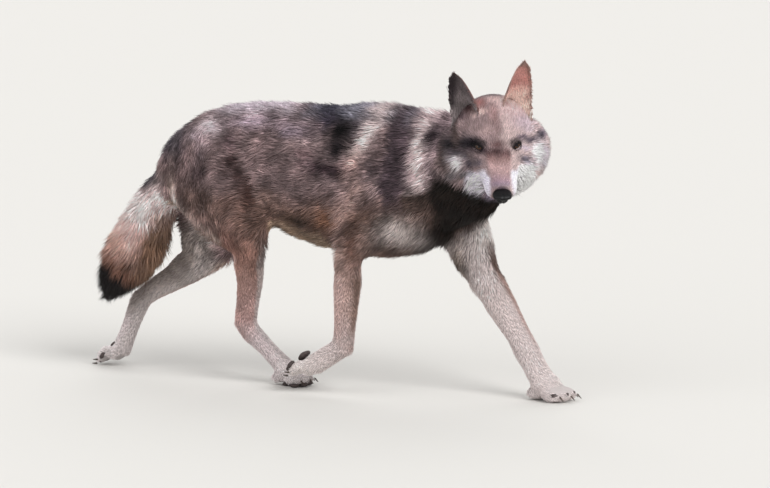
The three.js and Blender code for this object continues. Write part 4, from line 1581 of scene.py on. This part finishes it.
def combed(root, normal, part, shares, by_ear, long_hair, rng):
    """The way each tuft lies: the body's own, up the ears, jittered, and gathered in locks."""
    flow = lie_of_hair(root, normal, shares)
    left = to_head(root)[:, 1]
    for number, side in enumerate(SIDES, start=1):
        base, tip, _ = ear_axes(side)
        flow[part == number] = unit(tip - base)
        beside = by_ear * (np.sign(left) == flip_of(side))
        flow += 1.6 * beside[:, None] * unit(tip - base)
    flow -= np.sum(flow * normal, axis=1, keepdims=True) * normal
    ear = (part == EAR_LEFT) | (part == EAR_RIGHT)
    jitter = rng.normal(0, 1, len(root))[:, None] * np.where(ear, 0.07, 0.15)[:, None]
    flow = unit(unit(flow) + jitter * np.cross(normal, flow))
    lock = np.stack([noise(root, 48, seed) for seed in (31, 32, 33)], axis=1)
    flow = flow + 0.5 * long_hair[:, None] * lock
    return unit(flow - np.sum(flow * normal, axis=1, keepdims=True) * normal)


def hair_sizes(root, normal, part, regions, by_ear, long_hair, sizes, rng):
    """Length and width of each tuft, and its lift: the angle between its chord and the skin."""
    count = len(root)
    size = np.array([region_value(regions, figure) for figure in (LENGTH, WIDTH, DEPTH)]) * MM
    length, width, depth = size
    length *= sizes.coat_length
    near_nose = soft(to_head(root)[:, 0], 60, 120) * (region_share(regions, "head") > 0.5)
    length *= 1 - 0.45 * near_nose
    length += 15 * MM * by_ear
    depth += 3.0 * MM * by_ear
    length *= 1 + 0.25 * noise(root, 42, 34) * long_hair
    depth *= 1 + 0.4 * noise(root, 55, 35) * long_hair
    for number, side in enumerate(SIDES, start=1):
        mine = part == number
        base, tip, opens = ear_axes(side)
        share, _ = along_bone(root, base, tip)
        facing = normal @ opens
        cup = mine & (facing > 0.15) & (share < 0.55) & (rng.random(count) < 0.3)
        rim = mine & (np.abs(facing) < 0.45)
        for where, hair in ((mine, EAR_HAIR), (rim, RIM_HAIR), (cup, CUP_HAIR)):
            size[:, where] = np.array(hair)[:, None] * MM
    length *= rng.uniform(0.75, 1.2, count)
    width *= rng.uniform(0.7, 1.25, count)
    lift = np.arcsin(np.clip(depth * rng.uniform(0.55, 1.1, count) / length, 0.02, 0.6))
    return length, width, lift


def grow_coat(skin, sizes):
    """Grows every tuft of the coat from the skin, and makes a piece of each part of the body."""
    rng = np.random.default_rng(sizes.seed)
    root, normal, part, shares, regions = sown(skin, sizes, rng)
    ear = (part == EAR_LEFT) | (part == EAR_RIGHT)
    forward, left, up = to_head(root).T
    by_ear = spot((forward, np.abs(left), up), (-66, 46, 50), (36, 32, 36)) * ~ear
    long_hair = long_hair_of(regions) * ~ear
    flow = combed(root, normal, part, shares, by_ear, long_hair, rng)
    length, width, lift = hair_sizes(root, normal, part, regions, by_ear, long_hair, sizes, rng)
    ahead = root + flow * (0.65 * length)[:, None]
    tint = markings(ahead, normal, bone_shares(ahead), part)
    tint *= region_value(regions, PALENESS)[:, None]
    tints = banded(tint, regions, root, rng)
    made = []
    for name, mine in coat_pieces(root, shares, part).items():
        rows = [values[mine] for values in (root, normal, flow, length, width, lift)]
        tones = [tone[mine] for tone in tints]
        made.append(tuft_mesh(name, *rows, tones, chart_of(root[mine], shares[:, mine])))
    return made


def long_hair_of(regions):
    """0 on the face, lower legs and paws, 1 where the coat is long."""
    return 1 - np.clip(region_share(regions, "head", "lower_leg", "paw"), 0, 1)


def banded(tint, regions, root, rng):
    """Root, middle and tip colours: dull roots, banded middles, some dark and some pale tips."""
    count = len(tint)
    long_hair = long_hair_of(regions)
    leg = region_share(regions, "lower_leg", "paw")
    bright = tint.mean(axis=1)
    pale = soft(bright, 0.42, 0.7)
    calm = 1 - np.maximum(0.9 * pale, 0.6 * region_share(regions, "tail"))
    mottle = 0.6 * noise(root, 34, 36) + 0.45 * noise(root, 80, 37)
    mottle = mottle * (0.45 + 0.55 * long_hair) * calm
    spread = 0.16 + 0.04 * long_hair - 0.07 * leg
    middle_tone = tint * np.exp(rng.normal(0, 1, count) * spread + mottle)[:, None]
    pick = rng.random(count) + 0.35 * noise(root, 85, 21) * long_hair
    dark = (pick < (0.06 + 0.24 * long_hair) * calm)[:, None]
    light = (pick > 0.92 - 0.16 * long_hair)[:, None]
    gleam = (0.11 * soft(bright, 0.0, 0.22) * (1 - 0.7 * leg))[:, None] * linear("d8ccd0")
    tip = np.where(dark, middle_tone * 0.36, middle_tone)
    tip = np.where(light, middle_tone * 1.15 + gleam, tip)
    dull = middle_tone * (0.82 - 0.3 * long_hair * calm + 0.14 * pale)[:, None]
    middle_tone = np.where(dark, middle_tone * 0.78, middle_tone)
    middle_tone = np.where(light, middle_tone + 0.4 * gleam, middle_tone)
    return [np.clip(tone, 0, 1) for tone in (dull, middle_tone, tip)]


def coat_pieces(root, shares, part):
    """Which tufts make which piece: by the bone that owns them, and by side on head and trunk."""
    owner = np.array(BONE_NAMES)[np.argmax(shares, axis=0)]
    names = np.array(owner, dtype="U32")
    for kind, side in LEGS:
        nodes = [f"{name}_{side}" for name in LEG_NODES[kind]]
        names[np.isin(owner, nodes)] = f"coat_{kind}_leg_{side}"
    names[np.char.startswith(owner, "tail")] = "coat_tail"
    x = along_back(root)
    forward, left, _ = to_head(root).T
    trunk = np.where(x > 0.17, "shoulders", np.where(x > -0.03, "barrel", "loins"))
    body_side = np.where(root[:, 1] > MIDLINE, "_left", "_right")
    head_side = np.where(left > 0, "_left", "_right")
    on_body = part == BODY
    for mine, label, side in (
        (owner == "trunk", trunk, body_side),
        (owner == "neck", "neck", body_side),
        (on_body & (owner == "head"), np.where(forward > -10, "face", "crown"), head_side),
        (on_body & (owner == "ruff"), "ruff", head_side),
    ):
        names[mine] = np.char.add(np.char.add("coat_", label), side)[mine]
    for number, label in ((EAR_LEFT, "ear_left"), (EAR_RIGHT, "ear_right"), (LIDS, "lids")):
        names[part == number] = f"coat_{label}"
    return {str(name): names == name for name in np.unique(names)}


# ---- Paws


def paw_axes(kind, side):
    """A paw's claws, and its own axes from them: rows towards the toes, left and up."""
    claws = claw_middles(kind, side)
    left = unit((claws[3] - claws[0]) * flip_of(side))
    ahead = (claws[1] + claws[2]) / 2 - (claws[0] + claws[3]) / 2
    ahead = unit(ahead - (ahead @ left) * left)
    return claws, np.array([ahead, left, np.cross(ahead, left)])


def under_paw(points, normals):
    """True on the soles, where pads and not hair cover the skin."""
    sole = np.zeros(len(points), bool)
    for kind, side in LEGS:
        claws, axes = paw_axes(kind, side)
        centre = np.mean(claws, axis=0) - 36 * MM * axes[0]
        near = np.linalg.norm(points - centre, axis=1) < 52 * MM
        low = (points - centre) @ axes[2] < 2 * MM
        sole |= near & low & (normals @ axes[2] < -0.62)
    return sole


def pad_points(centre, axes, size, lobes=0.0, rows=14, columns=28):
    """Pad: a flattened ball whose outline r(turn) = 1 + lobes cos(3 turn) makes it heart-shaped."""
    away = np.linspace(0, np.pi, rows)[:, None]
    turn = np.linspace(0, 2 * np.pi, columns, endpoint=False)[None]
    outline = 1 + lobes * np.cos(3 * turn)
    grid = np.stack(
        [
            np.sin(away) ** 0.8 * np.cos(turn) * outline * size[0],
            np.sin(away) ** 0.8 * np.sin(turn) * outline * size[1],
            np.broadcast_to(np.cos(away), (rows, columns)) * size[2],
        ],
        axis=-1,
    )
    points = centre + grid.reshape(-1, 3) @ axes
    return points, outward(points - centre, grid_faces(rows, columns))


PAD_DROP = 7.5 * MM  # from the middle of a claw down to the middle of its pad
TOE_PAD = (11, 8, 5.5)  # half sizes along, across and up, in millimetres
HEEL_PAD = (15, 20, 6.5)


def paw_pads(kind, side):
    """Four toe pads and the large pad behind them, just proud of the skin of the sole."""
    claws, axes = paw_axes(kind, side)
    pads = [(claw, 21, TOE_PAD, 0) for claw in claws]
    pads.append((np.mean(claws, axis=0), 56, HEEL_PAD, 0.12))
    points, faces, start = [], [], 0
    for middle_of_claws, behind, size, lobes in pads:
        centre = middle_of_claws - behind * MM * axes[0] - PAD_DROP * axes[2]
        own, own_faces = pad_points(centre, axes, np.array(size) * MM, lobes)
        points.append(own)
        faces.append(own_faces + start)
        start += len(own)
    points = np.concatenate(points)
    points[:, 2] = np.maximum(points[:, 2], 0.2 * MM)
    return points, np.concatenate(faces)


# ---- Whiskers


def whisker_roots(longest, rng):
    """Roots, ways and lengths of the whiskers: rows on the lips and a few over each eye."""
    roots, ways, lengths = [], [], []
    for flip in (1, -1):
        for row, column in np.ndindex(4, 5):
            roots.append([104 - 9 * column - 2 * row, flip * (25 + 1.6 * column), -42 - 6.0 * row])
            ways.append([-0.35 - 0.08 * column, flip * 1.0, -0.35 - 0.12 * row])
            lengths.append(longest * rng.uniform(0.45, 1.0))
        for column in range(3):
            roots.append([14 - 5 * column, flip * (26 + 6 * column), 24])
            ways.append([0.1, flip * 0.5, 0.9])
            lengths.append(longest * rng.uniform(0.3, 0.45))
    return from_head(roots), np.array(ways), np.array(lengths)


def whisker_hairs(longest, rng):
    """Tapered four-sided hairs that sag: points at each station, quads along and at the ends."""
    root, ways, lengths = whisker_roots(longest, rng)
    way = unit(unit(ways) + rng.normal(0, 0.12, (len(ways), 3))) @ HEAD_AXES
    length = lengths[:, None, None]
    along = np.linspace(0, 1, 9)[None, :, None]
    sag = np.array([-0.25, 0, -0.45]) @ HEAD_AXES
    line = root[:, None] + way[:, None] * length * along + sag * length * along**2 * 0.5
    side = unit(np.cross(way, [0.1, 0.2, 1.0]))[:, None]
    other = np.cross(way[:, None], side)
    radius = 0.34 * MM * (1 - 0.85 * along)
    turn = np.arange(4) * np.pi / 2
    ring = np.stack([line + radius * (np.cos(t) * side + np.sin(t) * other) for t in turn], axis=2)
    i, k, j = np.meshgrid(np.arange(len(root)), np.arange(8), np.arange(4), indexing="ij")
    a = (i * 9 + k) * 4 + j
    b = (i * 9 + k) * 4 + (j + 1) % 4
    walls = np.stack([a, b, b + 4, a + 4], axis=-1).reshape(-1, 4)
    start = np.arange(len(root))[:, None] * 36
    caps = np.concatenate([start + [3, 2, 1, 0], start + [32, 33, 34, 35]])
    return ring.reshape(-1, 3), np.concatenate([walls, caps])


# ---- Operators


def sizes_of(context):
    """The sizes that the panel shows."""
    return context.scene.wolf_sizes


class WOLF_OT_skin(Operator):
    """Builds the skin that takes the place of the solids of flesh"""

    bl_idname = "wolf.skin"
    bl_label = "Skin"

    def execute(self, context):
        skin = build_skin(sizes_of(context))
        ears = ("ear_left", "ear_right")
        finish_piece(skin, skin_material(), (*FLESH, *ears))
        return {"FINISHED"}


def iris_tint(iris, angle, around):
    """Streaks round the pupil, a dark ring round the iris, the white and the pupil; angles in
    radians from the pupil's middle and round it."""
    tint = np.tile(iris, (len(angle), 1))
    tint = tint * (1 + 0.25 * np.sin(around * 17) * np.sin(around * 5 + 1))[:, None]
    tint = mix(tint, iris * 0.3, soft(angle, 0.5, 0.6))
    tint = mix(tint, iris * 0.45, soft(angle, 0.3, 0.24))
    return layered(
        tint, ("2b211c", soft(angle, 0.6, 0.66)), ("060506", soft(angle, 0.265, 0.24))
    )


class WOLF_OT_eyes(Operator):
    """Builds both eyeballs, with pupil, amber iris and dark white"""

    bl_idname = "wolf.eyes"
    bl_label = "Eyes"

    def execute(self, context):
        material = eye_material()
        iris = np.array(context.scene.wolf_colours.iris)
        for side in SIDES:
            points, faces, angle, around = eyeball(side)
            ball = new_object(f"eyeball_{side}", points, faces)
            paint(ball, "tint", iris_tint(iris, angle, around))
            finish_piece(ball, material, (f"eye_{side}",))
        return {"FINISHED"}


class WOLF_OT_nose(Operator):
    """Builds the nose leather with its nostrils and the groove between them"""

    bl_idname = "wolf.nose"
    bl_label = "Nose"

    def execute(self, context):
        nose = new_object("nose_leather", *nose_leather())
        leather = leather_material("nose_leather", "0c0b0e", 700, 0.42, 0.12)
        finish_piece(nose, leather, ("nose",))
        return {"FINISHED"}


class WOLF_OT_paws(Operator):
    """Builds the pads and gives the claws their horn"""

    bl_idname = "wolf.paws"
    bl_label = "Pads and claws"

    def execute(self, context):
        leather = leather_material("pad_leather", "544a49", 480, 0.7, 0.0)
        for kind, side in LEGS:
            pads = new_object(f"pads_{kind}_{side}", *paw_pads(kind, side))
            finish_piece(pads, leather)
        horn = horn_material()
        for name, node in NODES.items():
            if name.startswith("claw"):
                for slot in node.material_slots:
                    slot.material = horn
        return {"FINISHED"}


class WOLF_OT_whiskers(Operator):
    """Builds the whiskers: thin tapered hairs that sweep back from the lips and brows"""

    bl_idname = "wolf.whiskers"
    bl_label = "Whiskers"

    def execute(self, context):
        sizes = sizes_of(context)
        rng = np.random.default_rng(sizes.seed + 1)
        whiskers = new_object("whiskers", *whisker_hairs(sizes.whisker_length, rng))
        material, nodes, links, shader = new_material("whisker", 0.45)
        grain = grain_bump(nodes, links, shader, 1500, 0.2, 0.0001)
        ramped(nodes, links, shader, grain, (0.0, linear("191517")), (1.0, linear("4a4240")))
        finish_piece(whiskers, material)
        return {"FINISHED"}


class WOLF_OT_coat(Operator):
    """Grows the coat: every tuft, in a piece for each part of the body"""

    bl_idname = "wolf.coat"
    bl_label = "Coat"

    def execute(self, context):
        material = coat_material()
        for lock in grow_coat(bpy.data.objects["skin"], sizes_of(context)):
            finish_piece(lock, material)
        return {"FINISHED"}


LAMPS = (  # name, where it stands as seen from the wolf, strength, spread in degrees
    ("key", (0.95, -0.50, 0.84), 2.3, 34),
    ("fill", (-0.35, -1.0, 0.6), 0.95, 60),
    ("rim", (-0.5, 1.0, 0.8), 0.8, 50),
)
WORLD_STRENGTH = 0.62
FLOOR_REACH = 30.0  # metres from the middle to each edge


class WOLF_OT_stage(Operator):
    """Sets the floor, the lights, the world and the camera"""

    bl_idname = "wolf.stage"
    bl_label = "Stage"

    def execute(self, context):
        corners = FLOOR_REACH * np.array([[-1, -1, 0], [1, -1, 0], [1, 1, 0], [-1, 1, 0]])
        floor = new_object("floor", corners, np.array([[0, 1, 2, 3]]), smooth=False)
        colour = (*context.scene.wolf_colours.floor, 1)
        material, _, _, _ = new_material("studio_floor", 0.9, Base_Color=colour)
        floor.data.materials.append(material)
        for name, way, power, spread in LAMPS:
            lamp = bpy.data.lights.new(name, "SUN")
            lamp.angle = np.radians(spread)
            lamp.energy = power
            thing = bpy.data.objects.new(name, lamp)
            thing.rotation_euler = turned_to(way, (0, 0, 0))
            context.scene.collection.objects.link(thing)
        world = bpy.data.worlds.new("studio")
        world.use_nodes = True
        light = world.node_tree.nodes["Background"]
        set_values(light, Color=(1, 1, 1, 1), Strength=WORLD_STRENGTH)
        context.scene.world = world
        add_camera(context.scene)
        context.scene.view_settings.view_transform = "Standard"
        return {"FINISHED"}


CAMERA_AIM = (BACK_X + 0.1748, MIDLINE + 0.0891, 0.3359)
CAMERA_TURN = 27.0  # degrees ahead of square on to the right side
CAMERA_RISE = 9.0
CAMERA_LENS = 900.0
VIEW_WIDTH = 1.812  # metres across the picture at the wolf


def turned_to(place, target):
    """Turn that points a lamp's or camera's own -Z from its place to a target."""
    return (Vector(target) - Vector(place)).to_track_quat("-Z", "Y").to_euler()


def add_camera(scene):
    """Long lens, a little above the wolf and ahead of its right side."""
    lens = bpy.data.cameras.new("camera")
    lens.lens = CAMERA_LENS
    lens.sensor_width = 36.0
    lens.clip_end = 100.0
    distance = VIEW_WIDTH * CAMERA_LENS / lens.sensor_width
    turn, rise = np.radians(CAMERA_TURN), np.radians(CAMERA_RISE)
    way = np.array([np.sin(turn) * np.cos(rise), -np.cos(turn) * np.cos(rise), np.sin(rise)])
    place = np.array(CAMERA_AIM) + distance * way
    camera = bpy.data.objects.new("camera", lens)
    camera.location = place
    camera.rotation_euler = turned_to(place, CAMERA_AIM)
    scene.collection.objects.link(camera)
    scene.camera = camera


class WOLF_PT_panel(Panel):
    """The wolf's sizes, colours and steps"""

    bl_idname = "WOLF_PT_panel"
    bl_label = "Wolf"
    bl_space_type = "VIEW_3D"
    bl_region_type = "UI"
    bl_category = "Wolf"

    def draw(self, context):
        column = self.layout.column(align=True)
        for group in (context.scene.wolf_sizes, context.scene.wolf_colours):
            for name in group.bl_rna.properties.keys():
                if name not in ("rna_type", "name"):
                    column.prop(group, name)
        for step in STEPS:
            column.operator(step.bl_idname)


STEPS = (
    WOLF_OT_skin,
    WOLF_OT_eyes,
    WOLF_OT_nose,
    WOLF_OT_paws,
    WOLF_OT_whiskers,
    WOLF_OT_coat,
    WOLF_OT_stage,
)
CLASSES = (WolfSizes, WolfColours, *STEPS, WOLF_PT_panel)


def register():
    """Registers the classes and hangs the settings on the scene."""
    for item in CLASSES:
        bpy.utils.register_class(item)
    bpy.types.Scene.wolf_sizes = PointerProperty(type=WolfSizes)
    bpy.types.Scene.wolf_colours = PointerProperty(type=WolfColours)


def unregister():
    """Takes the settings and classes away again."""
    del bpy.types.Scene.wolf_colours
    del bpy.types.Scene.wolf_sizes
    for item in reversed(CLASSES):
        bpy.utils.unregister_class(item)


def main():
    """Builds the whole wolf and its stage."""
    register()
    for step in STEPS:
        group, name = step.bl_idname.split(".")
        getattr(getattr(bpy.ops, group), name)()


if __name__ == "__main__":
    main()
